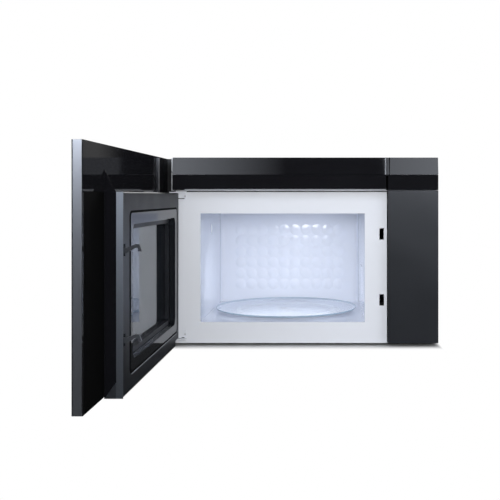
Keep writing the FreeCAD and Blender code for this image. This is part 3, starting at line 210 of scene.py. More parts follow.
# Cavity
CAVITY_SHEET = 0.8 * MM
CAVITY_CORNER = 11.0 * MM
CAVITY_CORNER_STEPS = 13
DOME_PITCH = 28.0 * MM
DOME_RADIUS = 13.5 * MM
DOME_RISE = 2.1 * MM
DOME_COLUMNS = 10
DOME_ROWS = 6
DOME_FLOOR_GAP = 45.0 * MM
DOME_CELLS = 16

# Latch spring
SPRING_WIRE = 0.45 * MM
SPRING_TURNS = 9
SPRING_STEPS = 24
SPRING_SIDES = 8

# Back sheet
BACK_SKIN = 0.2 * MM
FOLD_INSET = 16.0 * MM
FOLD_LINE = 1.0 * MM
FOLD_CORNER = 6.0 * MM
HANG_SLOTS = 4
HANG_SLOT_INSET = 90.0 * MM
HANG_SLOT_RAISE = 26.0 * MM
HANG_SLOT_WIDTH = 42.0 * MM
HANG_SLOT_HEIGHT = 7.0 * MM
BACK_SCREW = 4.0 * MM
BACK_SCREW_RISE = 0.9 * MM
BACK_SCREW_ROWS = 4
BACK_SCREW_STEPS = 7
BACK_SCREW_SIDES = 24

# Touch keypad
KEY_LABELS = ("1", "2", "3", "4", "5", "6", "7", "8", "9", "", "0", "")
KEY_COLUMNS = 3
KEY_PITCH_X = 28.0 * MM
KEY_PITCH_Z = 26.0 * MM
KEY_WIDTH = 23.0 * MM
KEY_HEIGHT = 20.0 * MM
KEY_CORNER = 4.0 * MM
KEY_CORNER_STEPS = 6
KEY_LINE = 0.5 * MM
DIGIT_SIZE = 13.0 * MM
DIGIT_CURVE_STEPS = 4
CLOCK_TEXT = "12:00"
CLOCK_HEIGHT = 30.0 * MM
CLOCK_SHARE = 0.72
PRINT_THICKNESS = 0.06 * MM

# Glass turntable
TRAY_WALL = 3.0 * MM
TRAY_BEAD = 1.0 * MM
TRAY_HEEL = 9.0 * MM
TRAY_HUB = 20.0 * MM
TRAY_RIM_BAND = 4.0 * MM
TRAY_HEEL_STEPS = 9
TRAY_RIM_STEPS = 11
TRAY_SIDES = 128

# Finishes
BROAD_DETAIL = 4.0
FINE_DETAIL = 2.0
CLOUD_SPAN = (0.3, 0.7)
COAT_ROUGHNESS = 0.08
HOLE_COLOR = (0.003, 0.003, 0.003, 1.0)


# Shader helpers

def new_group(name, inputs, outputs):
    """An empty shader group with float or vector inputs and float outputs, returned with its two ends."""
    tree = bpy.data.node_groups.new(name, "ShaderNodeTree")
    for label, kind, value in inputs:
        socket = tree.interface.new_socket(name=label, in_out="INPUT", socket_type=kind)
        if kind == "NodeSocketFloat":
            socket.default_value = value
    for label, kind in outputs:
        tree.interface.new_socket(name=label, in_out="OUTPUT", socket_type=kind)
    return tree, tree.nodes.new("NodeGroupInput"), tree.nodes.new("NodeGroupOutput")


def new_material(name):
    """A new material, the nodes and links of its tree, and its Principled shader."""
    material = bpy.data.materials.new(name)
    material.use_nodes = True
    tree = material.node_tree
    return material, tree.nodes, tree.links, tree.nodes["Principled BSDF"]


def math_node(nodes, links, operation, first, second):
    """One Math node of two inputs, each a socket or a number."""
    node = nodes.new("ShaderNodeMath")
    node.operation = operation
    for socket, value in zip(node.inputs, (first, second)):
        if isinstance(value, float):
            socket.default_value = value
        else:
            links.new(value, socket)
    return node.outputs[0]


def map_range(nodes, links, value, before, after=(0.0, 1.0), smooth=False):
    """The value's socket taken from one span to another, in a straight line or a smooth step."""
    node = nodes.new("ShaderNodeMapRange")
    if smooth:
        node.interpolation_type = "SMOOTHSTEP"
    for label, number in zip(("From Min", "From Max", "To Min", "To Max"), (*before, *after)):
        node.inputs[label].default_value = number
    links.new(value, node.inputs["Value"])
    return node.outputs["Result"]


def mix_color(nodes, links, share, first, second):
    """A colour that runs from first to second with the share's socket; each is a socket or four numbers."""
    node = nodes.new("ShaderNodeMix")
    node.data_type = "RGBA"
    links.new(share, node.inputs["Factor"])
    for label, value in (("A", first), ("B", second)):
        if isinstance(value, tuple):
            node.inputs[label].default_value = value
        else:
            links.new(value, node.inputs[label])
    return node.outputs["Result"]


def build_fine_surface():
    """Two noises: a broad one shifts the roughness between Low and High, a fine one is the Height."""
    tree, start, end = new_group(
        "fine_surface",
        [("Vector", "NodeSocketVector", None), ("Broad Scale", "NodeSocketFloat", 12.0),
         ("Fine Scale", "NodeSocketFloat", 900.0), ("Low", "NodeSocketFloat", 0.2),
         ("High", "NodeSocketFloat", 0.3)],
        [("Roughness", "NodeSocketFloat"), ("Height", "NodeSocketFloat"), ("Cloud", "NodeSocketFloat")])
    nodes, links = tree.nodes, tree.links
    broad = nodes.new("ShaderNodeTexNoise")
    broad.inputs["Detail"].default_value = BROAD_DETAIL
    fine = nodes.new("ShaderNodeTexNoise")
    fine.inputs["Detail"].default_value = FINE_DETAIL
    for noise, label in ((broad, "Broad Scale"), (fine, "Fine Scale")):
        links.new(start.outputs["Vector"], noise.inputs["Vector"])
        links.new(start.outputs[label], noise.inputs["Scale"])
    spread = map_range(nodes, links, broad.outputs["Fac"], CLOUD_SPAN)
    links.new(start.outputs["Low"], spread.node.inputs["To Min"])
    links.new(start.outputs["High"], spread.node.inputs["To Max"])
    links.new(spread, end.inputs["Roughness"])
    links.new(fine.outputs["Fac"], end.inputs["Height"])
    links.new(broad.outputs["Fac"], end.inputs["Cloud"])
    return tree


def build_hole_grid():
    """A square grid of round holes in the pattern's XY plane: 1 within Reach of a hole's centre, else 0.

    The distance is measured in pitches, from the middle of the cell that the point falls in."""
    tree, start, end = new_group(
        "hole_grid",
        [("Vector", "NodeSocketVector", None), ("Per Metre", "NodeSocketFloat", 400.0),
         ("Reach", "NodeSocketFloat", 0.33)],
        [("Hole", "NodeSocketFloat")])
    nodes, links = tree.nodes, tree.links
    steps = []
    for operation in ("SCALE", "FRACTION", "SUBTRACT", "MULTIPLY", "LENGTH"):
        steps.append(nodes.new("ShaderNodeVectorMath"))
        steps[-1].operation = operation
    scaled, _, middle, flat, away = steps
    middle.inputs[1].default_value = (0.5, 0.5, 0.0)
    flat.inputs[1].default_value = (1.0, 1.0, 0.0)
    links.new(start.outputs["Vector"], scaled.inputs[0])
    links.new(start.outputs["Per Metre"], scaled.inputs["Scale"])
    for before, after in zip(steps, steps[1:]):
        links.new(before.outputs[0], after.inputs[0])
    inside = math_node(nodes, links, "LESS_THAN", away.outputs["Value"], start.outputs["Reach"])
    links.new(inside, end.inputs["Hole"])
    return tree


FINE_SURFACE = build_fine_surface()
HOLE_GRID = build_hole_grid()


def mapped_place(nodes, links, **settings):
    """The piece's own coordinates, taken through a Mapping node with the settings that are named."""
    place = nodes.new("ShaderNodeTexCoord")
    mapping = nodes.new("ShaderNodeMapping")
    for label, value in settings.items():
        mapping.inputs[label].default_value = value
    links.new(place.outputs["Object"], mapping.inputs["Vector"])
    return mapping.outputs["Vector"]


def split_place(nodes, links, kind):
    """The X, Y and Z sockets of one kind of texture coordinates."""
    place = nodes.new("ShaderNodeTexCoord")
    split = nodes.new("ShaderNodeSeparateXYZ")
    links.new(place.outputs[kind], split.inputs[0])
    return split.outputs


def fine_surface(nodes, links, place, low, high):
    """The fine surface group at the place's socket, with its roughness between low and high."""
    group = nodes.new("ShaderNodeGroup")
    group.node_tree = FINE_SURFACE
    group.inputs["Low"].default_value = low
    group.inputs["High"].default_value = high
    links.new(place, group.inputs["Vector"])
    return group


def finish(name, color, low, high, fine_scale, bump, tint=0.06, metallic=0.0, coat=0.0, ior=1.5,
           broad_scale=14.0, stretch=(1.0, 1.0, 1.0)):
    """An opaque finish: colour with a slight cloud, roughness between low and high, and a fine bump."""
    material, nodes, links, shader = new_material(name)
    shader.inputs["Metallic"].default_value = metallic
    shader.inputs["IOR"].default_value = ior
    shader.inputs["Coat Weight"].default_value = coat
    shader.inputs["Coat Roughness"].default_value = COAT_ROUGHNESS
    group = fine_surface(nodes, links, mapped_place(nodes, links, Scale=stretch), low, high)
    group.inputs["Broad Scale"].default_value = broad_scale
    group.inputs["Fine Scale"].default_value = fine_scale
    dark = [c * (1.0 - tint) for c in color]
    light = [min(1.0, c * (1.0 + tint)) for c in color]
    shade = mix_color(nodes, links, group.outputs["Cloud"], (*dark, 1.0), (*light, 1.0))
    relief = nodes.new("ShaderNodeBump")
    relief.inputs["Strength"].default_value = 1.0
    relief.inputs["Distance"].default_value = bump
    links.new(shade, shader.inputs["Base Color"])
    links.new(group.outputs["Roughness"], shader.inputs["Roughness"])
    links.new(group.outputs["Height"], relief.inputs["Height"])
    links.new(relief.outputs["Normal"], shader.inputs["Normal"])
    return material


def clear_glass(name, color, low, high, ior):
    """Clear glass with a faint change of polish over its face."""
    material, nodes, links, shader = new_material(name)
    shader.inputs["Base Color"].default_value = (*color, 1.0)
    shader.inputs["Transmission Weight"].default_value = 1.0
    shader.inputs["IOR"].default_value = ior
    group = fine_surface(nodes, links, mapped_place(nodes, links), low, high)
    links.new(group.outputs["Roughness"], shader.inputs["Roughness"])
    return material


def pale_glass(name, color, rim_color, low, high, cover, rim_cover):
    """Thin pressed glass as a pale film over what lies behind it, deeper in colour at the tray's rim.

    The rim share is the distance from the tray's axis, stretched over the rim band to run from 0 to 1."""
    material, nodes, links, shader = new_material(name)
    group = fine_surface(nodes, links, mapped_place(nodes, links), low, high)
    links.new(group.outputs["Roughness"], shader.inputs["Roughness"])
    centred = mapped_place(nodes, links, Location=(*(-TRAY_CENTRE[:2]), 0.0), Scale=(1.0, 1.0, 0.0))
    away = nodes.new("ShaderNodeVectorMath")
    away.operation = "LENGTH"
    links.new(centred, away.inputs[0])
    band = (TRAY_RADIUS - TRAY_RIM_BAND, TRAY_RADIUS - TRAY_BEAD)
    share = map_range(nodes, links, away.outputs["Value"], band)
    shade = mix_color(nodes, links, share, (*color, 1.0), (*rim_color, 1.0))
    veil = nodes.new("ShaderNodeMix")
    veil.inputs["A"].default_value = cover
    veil.inputs["B"].default_value = rim_cover
    links.new(share, veil.inputs["Factor"])
    links.new(shade, shader.inputs["Base Color"])
    links.new(veil.outputs["Result"], shader.inputs["Alpha"])
    return material


def perforate(material, turn, per_metre, reach):
    """Round dark holes over a finish, on its XY plane after a turn in degrees about X, Y and Z."""
    nodes, links = material.node_tree.nodes, material.node_tree.links
    color = nodes["Principled BSDF"].inputs["Base Color"]
    plain = color.links[0].from_socket
    turned = mapped_place(nodes, links, Rotation=[math.radians(angle) for angle in turn])
    group = nodes.new("ShaderNodeGroup")
    group.node_tree = HOLE_GRID
    group.inputs["Per Metre"].default_value = per_metre
    group.inputs["Reach"].default_value = reach
    links.new(turned, group.inputs["Vector"])
    links.new(mix_color(nodes, links, group.outputs["Hole"], plain, HOLE_COLOR), color)


# Finishes of this oven: name, material, colour, lowest and highest roughness, fine scale, bump, what differs
DRAWN_UPRIGHT = (1.0, 1.0, 0.02)
WOUND = (0.05, 1.0, 1.0)
LAYERED = (0.04, 1.0, 1.0)
FINISH_ROWS = (
    ("white_enamel", "front_plate_enamel", (0.765, 0.782, 0.822), 0.31, 0.34, 700.0, 0.00001,
     {"tint": 0.006, "coat": 0.1}),
    ("cavity_enamel", "cavity_enamel", (0.660, 0.696, 0.782), 0.11, 0.15, 500.0, 0.00001,
     {"tint": 0.01, "coat": 0.3}),
    ("gloss_black", "gloss_black_trim", (0.006, 0.006, 0.007), 0.02, 0.05, 300.0, 0.000002,
     {"tint": 0.2, "ior": 1.34}),
    ("satin_black", "satin_black_trim", (0.010, 0.0108, 0.0132), 0.30, 0.36, 1400.0, 0.00001,
     {"tint": 0.1, "ior": 1.75}),
    ("dark_grey", "inner_cover_grey", (0.007, 0.008, 0.0105), 0.44, 0.52, 1600.0, 0.000015, {"ior": 1.40}),
    ("bezel_black", "window_bezel_black", (0.008, 0.009, 0.011), 0.04, 0.08, 900.0, 0.000002,
     {"tint": 0.1, "ior": 1.30}),
    ("choke_black", "choke_black", (0.004, 0.004, 0.005), 0.08, 0.14, 700.0, 0.000004,
     {"tint": 0.1, "ior": 1.4}),
    ("black_paint", "powder_coat", (0.018, 0.018, 0.019), 0.44, 0.49, 1100.0, 0.00005, {"tint": 0.08}),
    ("black_plastic", "black_moulding", (0.014, 0.014, 0.015), 0.30, 0.42, 1200.0, 0.00002, {"tint": 0.15}),
    ("dark_glass", "door_front_glass", (0.004, 0.004, 0.005), 0.01, 0.03, 200.0, 0.000001,
     {"tint": 0.2, "coat": 0.5}),
    ("zinc_steel", "zinc_steel", (0.56, 0.57, 0.58), 0.39, 0.41, 260.0, 0.00002,
     {"tint": 0.03, "metallic": 1.0, "broad_scale": 60.0}),
    ("bright_steel", "bright_steel", (0.80, 0.80, 0.81), 0.10, 0.18, 300.0, 0.000004,
     {"tint": 0.05, "metallic": 1.0}),
    ("edge_aluminium", "edge_aluminium", (0.60, 0.62, 0.66), 0.27, 0.33, 900.0, 0.00001,
     {"tint": 0.04, "metallic": 1.0, "stretch": DRAWN_UPRIGHT}),
    ("cover_end_satin", "cover_end_satin", (0.30, 0.32, 0.35), 0.38, 0.44, 900.0, 0.00002,
     {"tint": 0.03, "metallic": 1.0, "stretch": DRAWN_UPRIGHT}),
    ("aluminium", "bare_aluminium", (0.74, 0.75, 0.76), 0.28, 0.42, 500.0, 0.00001, {"metallic": 1.0}),
    ("mica", "mica_sheet", (0.60, 0.57, 0.50), 0.40, 0.60, 240.0, 0.00004, {"tint": 0.15}),
    ("circuit_green", "circuit_board", (0.02, 0.16, 0.06), 0.25, 0.40, 320.0, 0.00003, {"tint": 0.2}),
    ("copper_winding", "copper_winding", (0.52, 0.22, 0.08), 0.25, 0.40, 420.0, 0.0002,
     {"tint": 0.2, "metallic": 0.8, "stretch": WOUND}),
    ("core_iron", "laminated_iron", (0.10, 0.10, 0.11), 0.45, 0.60, 500.0, 0.0002,
     {"tint": 0.2, "metallic": 0.6, "stretch": LAYERED}),
    ("white_plastic", "white_moulding", (0.78, 0.79, 0.80), 0.38, 0.48, 900.0, 0.00002, {"tint": 0.02}),
    ("hook_grey", "hook_moulding", (0.032, 0.034, 0.039), 0.22, 0.30, 900.0, 0.00001, {"tint": 0.08}),
    ("rubber", "moulded_rubber", (0.016, 0.016, 0.016), 0.60, 0.75, 800.0, 0.00004, {"tint": 0.1}),
    # Dead black: painted shade over the groove, the right trim's side and the notch; own colour of the joint
    # and film
    ("seal_black", "seal_black", (0.003, 0.003, 0.003), 0.85, 0.95, 800.0, 0.00002,
     {"tint": 0.1, "ior": 1.1}),
    # Pale satin grey that paints highlight lines on the trim's lip, the trim end's edge and the groove's
    # bead
    ("lip_satin", "trim_lip_satin", (0.30, 0.31, 0.33), 0.35, 0.42, 900.0, 0.00001, {"tint": 0.03}),
    ("filter_mesh", "filter_mesh", (0.62, 0.62, 0.64), 0.30, 0.45, 380.0, 0.0003,
     {"tint": 0.15, "metallic": 1.0}),
    ("screen_black", "perforated_screen", (0.022, 0.022, 0.024), 0.42, 0.55, 1100.0, 0.00002, {}),
    ("key_print", "key_print", (0.62, 0.64, 0.67), 0.50, 0.60, 900.0, 0.000002, {"tint": 0.03}),
    ("charcoal", "charcoal_felt", (0.02, 0.02, 0.02), 0.80, 0.95, 400.0, 0.0004, {"tint": 0.3}))


def make_finishes():
    """Every finish by its name: the rows above, holes over two of them, and the two kinds of glass."""
    finishes = {row[0]: finish(*row[1:-1], **row[-1]) for row in FINISH_ROWS}
    perforate(finishes["filter_mesh"], turn=(0.0, 0.0, 45.0), per_metre=240.0, reach=0.38)
    perforate(finishes["screen_black"], turn=(0.0, 90.0, 0.0), per_metre=420.0, reach=0.36)
    finishes["window_glass"] = clear_glass("window_glass", (0.55, 0.58, 0.62), 0.0, 0.02, ior=1.27)
    finishes["tray_glass"] = pale_glass("tray_glass", (0.74, 0.80, 0.90), (0.24, 0.35, 0.43), 0.02, 0.06,
                                        cover=0.52, rim_cover=0.66)
    return finishes


FINISHES = make_finishes()
NODE_FINISH = {"cavity_shell": "cavity_enamel", "waveguide_cover": "cavity_enamel",
               "cavity_lamp": "white_plastic", "choke_frame": "choke_black",
               "door_screen": "screen_black", "latch_bar": "hook_grey"}


def dress_nodes():
    """Every carried-over piece takes the finish of its record slot, or its own where one is named."""
    slots = {row["node"]: row["material_slot"] for row in frame["record"]["subparts"]}
    for node, piece in frame["nodes"].items():
        material = FINISHES[NODE_FINISH.get(node, slots[node])]
        piece.data.materials.clear()
        piece.data.materials.append(material)


# Mesh helpers

def grid_mesh(name, points, close_u=False, close_v=False):
    """A mesh from an array of points[u, v], its quads wound in order, closed round u or v where asked."""
    count_u, count_v = points.shape[:2]
    index = np.arange(count_u * count_v).reshape(count_u, count_v)
    across = np.concatenate([index, index[:1]]) if close_u else index
    across = np.concatenate([across, across[:, :1]], axis=1) if close_v else across
    corners = [across[:-1, :-1], across[1:, :-1], across[1:, 1:], across[:-1, 1:]]
    quads = np.stack(corners, axis=-1).reshape(-1, 4)
    mesh = bpy.data.meshes.new(name)
    mesh.from_pydata(points.reshape(-1, 3).tolist(), [], quads.tolist())
    mesh.update()
    return mesh


def with_faces(mesh, points, more):
    """The grid's mesh made again from its points, with more faces beside its quads, all turned outwards."""
    faces = [list(face.vertices) for face in mesh.polygons] + more
    mesh.clear_geometry()
    mesh.from_pydata(points.reshape(-1, 3).tolist(), [], faces)
    return outward(mesh)


def capped_mesh(name, points):
    """The skin of rings carried along a path, closed round u, with a flat face over each end."""
    count, rows = points.shape[:2]
    first = np.arange(count) * rows
    ends = [first.tolist()[::-1], (first + rows - 1).tolist()]
    return with_faces(grid_mesh(name, points, close_u=True), points, ends)


def outward(mesh):
    """The same mesh with every face turned outwards."""
    work = bmesh.new()
    work.from_mesh(mesh)
    bmesh.ops.recalc_face_normals(work, faces=work.faces)
    work.to_mesh(mesh)
    work.free()
    return mesh


def add_piece(name, mesh, finish_name, body, smooth=False):
    """A piece of the scene with its finish, riding on a body."""
    piece = bpy.data.objects.new(name, mesh)
    bpy.context.scene.collection.objects.link(piece)
    mesh.materials.append(FINISHES[finish_name])
    mesh.polygons.foreach_set("use_smooth", np.full(len(mesh.polygons), smooth))
    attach(piece, body)
    return piece


def add_solid(name, points, finish_name, body, smooth=False):
    """A piece from rings of points, closed by a flat face at each end."""
    return add_piece(name, capped_mesh(name, points), finish_name, body, smooth)


def add_ring(name, points, finish_name, body):
    """A piece whose section runs round a loop and meets itself, closed both ways."""
    mesh = outward(grid_mesh(name, points, close_u=True, close_v=True))
    return add_piece(name, mesh, finish_name, body)


# Outlines and bars

def rounded_loop(x0, x1, z0, z1, radius, steps=10):
    """A rectangle with quarter-circle corners, as points (x, z): corner centre + r (cos t, sin t)."""
    quarter = np.linspace(0.0, math.pi / 2, steps)
    left, right, low, high = x0 + radius, x1 - radius, z0 + radius, z1 - radius
    parts = []
    for index, (cx, cz) in enumerate([(right, high), (left, high), (left, low), (right, low)]):
        angle = quarter + index * math.pi / 2
        parts.append(np.stack([cx + radius * np.cos(angle), cz + radius * np.sin(angle)], axis=-1))
    return np.concatenate(parts)


def inset_loop(rect, inset, radius):
    """The rounded rectangle that lies inside another by the inset all round."""
    x0, x1, z0, z1 = rect
    corner = max(radius - inset, SMALLEST_CORNER)
    return rounded_loop(x0 + inset, x1 - inset, z0 + inset, z1 - inset, corner)


def at_depth(loop, y):
    """A loop of points (x, z) stood at one depth."""
    return np.stack([loop[:, 0], np.full(len(loop), y), loop[:, 1]], axis=-1)


def at_heights(loop, heights):
    """A loop of points (x, y) repeated at each height."""
    return np.stack([np.column_stack([loop, np.full(len(loop), z)]) for z in heights], axis=1)


def ring_between(outer, inner, back, front):
    """A flat ring with a square section: the outer and inner loops, each at its back and front depth."""
    return np.stack([at_depth(outer, back), at_depth(outer, front),
                     at_depth(inner, front), at_depth(inner, back)], axis=1)


def bar(low, high, round_off, steps=5):
    """An upright bar: a rounded rectangle (x, y) carried from low to high, and drawn in at each end."""
    plan = rounded_loop(low[0], high[0], low[1], high[1], round_off, steps)
    levels = np.array([low[2], low[2] + round_off, high[2] - round_off, high[2]])
    middle = plan.mean(axis=0)
    size = np.array([high[0] - low[0], high[1] - low[1]])
    drawn_in = 1 - 2 * round_off / size
    rings = []
    for shrink, level in zip((drawn_in, 1.0, 1.0, drawn_in), levels):
        rings.append(np.column_stack([middle + (plan - middle) * shrink, np.full(len(plan), level)]))
    return np.stack(rings, axis=1)


def lathe(section_r, section_z, centre, sides):
    """A solid of revolution: the section (r, z) at r cos t and r sin t round the upright line at centre."""
    around = np.linspace(0.0, 2 * math.pi, sides, endpoint=False)
    return np.stack([centre[0] + section_r * np.cos(around)[:, None],
                     centre[1] + section_r * np.sin(around)[:, None],
                     np.broadcast_to(section_z, (sides, len(section_z)))], axis=-1)


def low_dome(radius, rise, steps):
    """The section of a flat-footed dome: r = radius cos t and z = rise sin t, with a foot at the axis."""
    turn = np.linspace(0.0, math.pi / 2, steps)
    r = np.concatenate([[radius * POLE_SHARE], radius * np.maximum(np.cos(turn), POLE_SHARE)])
    return r, np.concatenate([[0.0], rise * np.sin(turn)])


# The door is worked out in its closed place, where it is square, and then swung to the open rest pose

def record_joint(name):
    """A joint's row in the record."""
    return next(joint for joint in frame["record"]["behaviour"]["joints"] if joint["name"] == name)


HINGE_POINT = np.array(record_joint("door_hinge")["pos_m"])
OPEN_ANGLE = math.radians(record_joint("door_hinge")["range_deg"][0])


def turn_about_hinge(points, angle):
    """Points turned about the upright hinge line: x' = x cos a - y sin a, y' = x sin a + y cos a."""
    away = np.asarray(points, float) - HINGE_POINT
    x = away[..., 0] * math.cos(angle) - away[..., 1] * math.sin(angle)
    y = away[..., 0] * math.sin(angle) + away[..., 1] * math.cos(angle)
    return np.stack([x, y, away[..., 2]], axis=-1) + HINGE_POINT


def swung(points):
    """Points of the closed door, swung to the rest pose."""
    return turn_about_hinge(points, OPEN_ANGLE)


def closed_box(node):
    """A door node's lowest and highest corners with the door closed."""
    mesh = frame["nodes"][node].data
    corners = np.empty(len(mesh.vertices) * 3)
    mesh.vertices.foreach_get("co", corners)
    square = turn_about_hinge(corners.reshape(-1, 3), -OPEN_ANGLE)
    return square.min(axis=0), square.max(axis=0)


# Door

def add_door_edge():
    """A satin aluminium strip down the free edge of the door's panel, over its frame and glass."""
    low, high = closed_box("door_panel_frame")
    glass_low, _ = closed_box("door_front_glass")
    strip_low = (high[0] - STRIP_PROUD, glass_low[1] + EDGE_GLASS_SHOWS, low[2])
    strip_high = (high[0] + STRIP_PROUD, high[1] - EDGE_FRAME_SHOWS, high[2])
    strip = swung(bar(strip_low, strip_high, EDGE_ROUND))
    add_solid("door_edge_strip", strip, "edge_aluminium", "door")


def stepped_liner(recess, face):
    """The recess's wall as rounded loops that narrow in even steps going down, closed by a loop behind."""
    floor = face - RECESS_DEPTH + LINER
    levels = np.linspace(face, floor, RECESS_STEPS + 1)
    behind = inset_loop(recess, FACE_GAP, RECESS_CORNER)
    loops = [at_depth(behind, floor), at_depth(behind, face)]
    for step in range(RECESS_STEPS):
        loop = inset_loop(recess, LINER + step * RECESS_STEP, RECESS_CORNER)
        loops += [at_depth(loop, levels[step]), at_depth(loop, levels[step + 1])]
    return np.stack(loops, axis=1)


def add_cover_rings():
    """A flat black band of painted shade over the groove's dark gap, the gloss bezel inside it, the recess's
    liner and a lower bead whose pale satin paints a highlight.
    """
    low, high = closed_box("inner_door_cover")
    face = high[1]
    left, right = low[0] + GROOVE_INSET_HINGE, high[0] - GROOVE_INSET_FREE
    bottom, top = low[2] + GROOVE_INSET_BOTTOM, high[2] - GROOVE_INSET_TOP
    recess = (left + BEZEL_WIDTH, right - BEZEL_WIDTH, bottom + BEZEL_WIDTH, top - BEZEL_WIDTH)
    groove = rounded_loop(left, right, bottom, top, GROOVE_CORNER)
    bezel = rounded_loop(left + GROOVE_WIDTH, right - GROOVE_FREE_WIDTH, bottom + GROOVE_WIDTH,
                         top - GROOVE_WIDTH, GROOVE_CORNER - GROOVE_WIDTH)
    mouth = rounded_loop(*recess, RECESS_CORNER)
    back, front = face + FACE_GAP, face + BEZEL_SKIN
    for name, points, finish_name, slot in (
            # painted shade: a flat black band over the groove's dark gap
            ("groove_shade_band", ring_between(groove, bezel, back, front), "seal_black", "rubber"),
            ("window_bezel", ring_between(bezel, mouth, back, front), "bezel_black", "black_plastic"),
            ("window_recess_liner", stepped_liner(recess, face), "bezel_black", "black_plastic")):
        add_ring(name, swung(points), finish_name, "door")
    # the bead's pale satin paints the highlight on the groove's lower edge
    bead_low = (left + GROOVE_CORNER, face - BEAD_RADIUS, bottom - 2 * BEAD_RADIUS)
    bead_high = (right - GROOVE_CORNER, face + BEAD_RADIUS, bottom)
    bead = swung(bar(bead_low, bead_high, BEAD_RADIUS * BEAD_ROUND))
    add_solid("lower_groove_highlight_bead", bead, "lip_satin", "door", smooth=True)


def add_cover_end():
    """A finely fluted satin skin over the free end of the cover's skirt, a little proud of its face.

    Each flute is a straight slope, x = face + rise (1 - s), which turns towards the oven's middle."""
    low, high = closed_box("inner_door_cover")
    edges = np.linspace(high[1] - SKIRT_DEPTH, high[1] + END_SKIN_PROUD, FLUTES + 1)
    back = high[0] + FACE_GAP
    face = back + END_SKIN
    rise = (edges[1] - edges[0]) * math.tan(math.radians(FLUTE_TURN))
    slopes = np.stack([edges[:-1], edges[1:]], axis=1).ravel()
    y = np.concatenate([[edges[0]], slopes, [edges[-1]]])
    x = np.concatenate([[back], np.tile([face + rise, face], FLUTES), [back]])
    skin = swung(at_heights(np.column_stack([x, y]), (low[2], high[2])))
    add_solid("cover_end_skin", skin, "cover_end_satin", "door")


def add_panel_film():
    """A matt black film on the panel's inner face, from the choke to a gloss margin at the free edge."""
    low, high = closed_box("door_panel_frame")
    _, choke_high = closed_box("choke_frame")
    film_low = (choke_high[0] + FILM_GAP, high[1] + FACE_GAP, low[2] + FILM_GAP)
    film_high = (high[0] - FILM_MARGIN, high[1] + SIDE_SKIN, choke_high[2] - FILM_DROP)
    film = swung(bar(film_low, film_high, SIDE_SKIN * SKIN_ROUND))
    add_solid("panel_film", film, "seal_black", "door")


def add_corner_web():
    """A grey three-cornered web at the foot of the cover's free end, from the skirt back to the panel."""
    low, high = closed_box("inner_door_cover")
    _, panel_high = closed_box("door_panel_frame")
    skirt = high[1] - SKIRT_DEPTH
    corners = np.array([[skirt, low[2]], [skirt, low[2] + WEB_HEIGHT], [panel_high[1] + LINER, low[2]]])
    sides = []
    for stand_off in (FACE_GAP, 2 * LINER):
        sides.append(np.column_stack([np.full(len(corners), high[0] + stand_off), corners]))
    web = swung(np.stack(sides, axis=1))
    add_solid("lower_corner_web", web, "cover_end_satin", "door")


def add_latch_spring():
    """A wire coil in the door's channel.

    The path is a helix (R cos t, R sin t, z rising with t), with a circle of the wire carried along it."""
    low, high = np.array(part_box("latch_spring"))
    centre = (low + high) / 2
    radius = (high[0] - low[0]) / 2 - SPRING_WIRE
    turn = np.linspace(0.0, 2 * math.pi * SPRING_TURNS, SPRING_STEPS * SPRING_TURNS)
    height = np.linspace(low[2] + SPRING_WIRE, high[2] - SPRING_WIRE, len(turn))
    around = np.linspace(0.0, 2 * math.pi, SPRING_SIDES, endpoint=False)[:, None]
    out = radius + SPRING_WIRE * np.cos(around)
    points = np.stack([centre[0] + out * np.cos(turn), centre[1] + out * np.sin(turn),
                       height + SPRING_WIRE * np.sin(around)], axis=-1)
    piece = add_solid("latch_spring_coil", points, "bright_steel", "door", smooth=True)
    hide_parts("latch_spring")
    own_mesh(piece)


# Front trims and hinge brackets

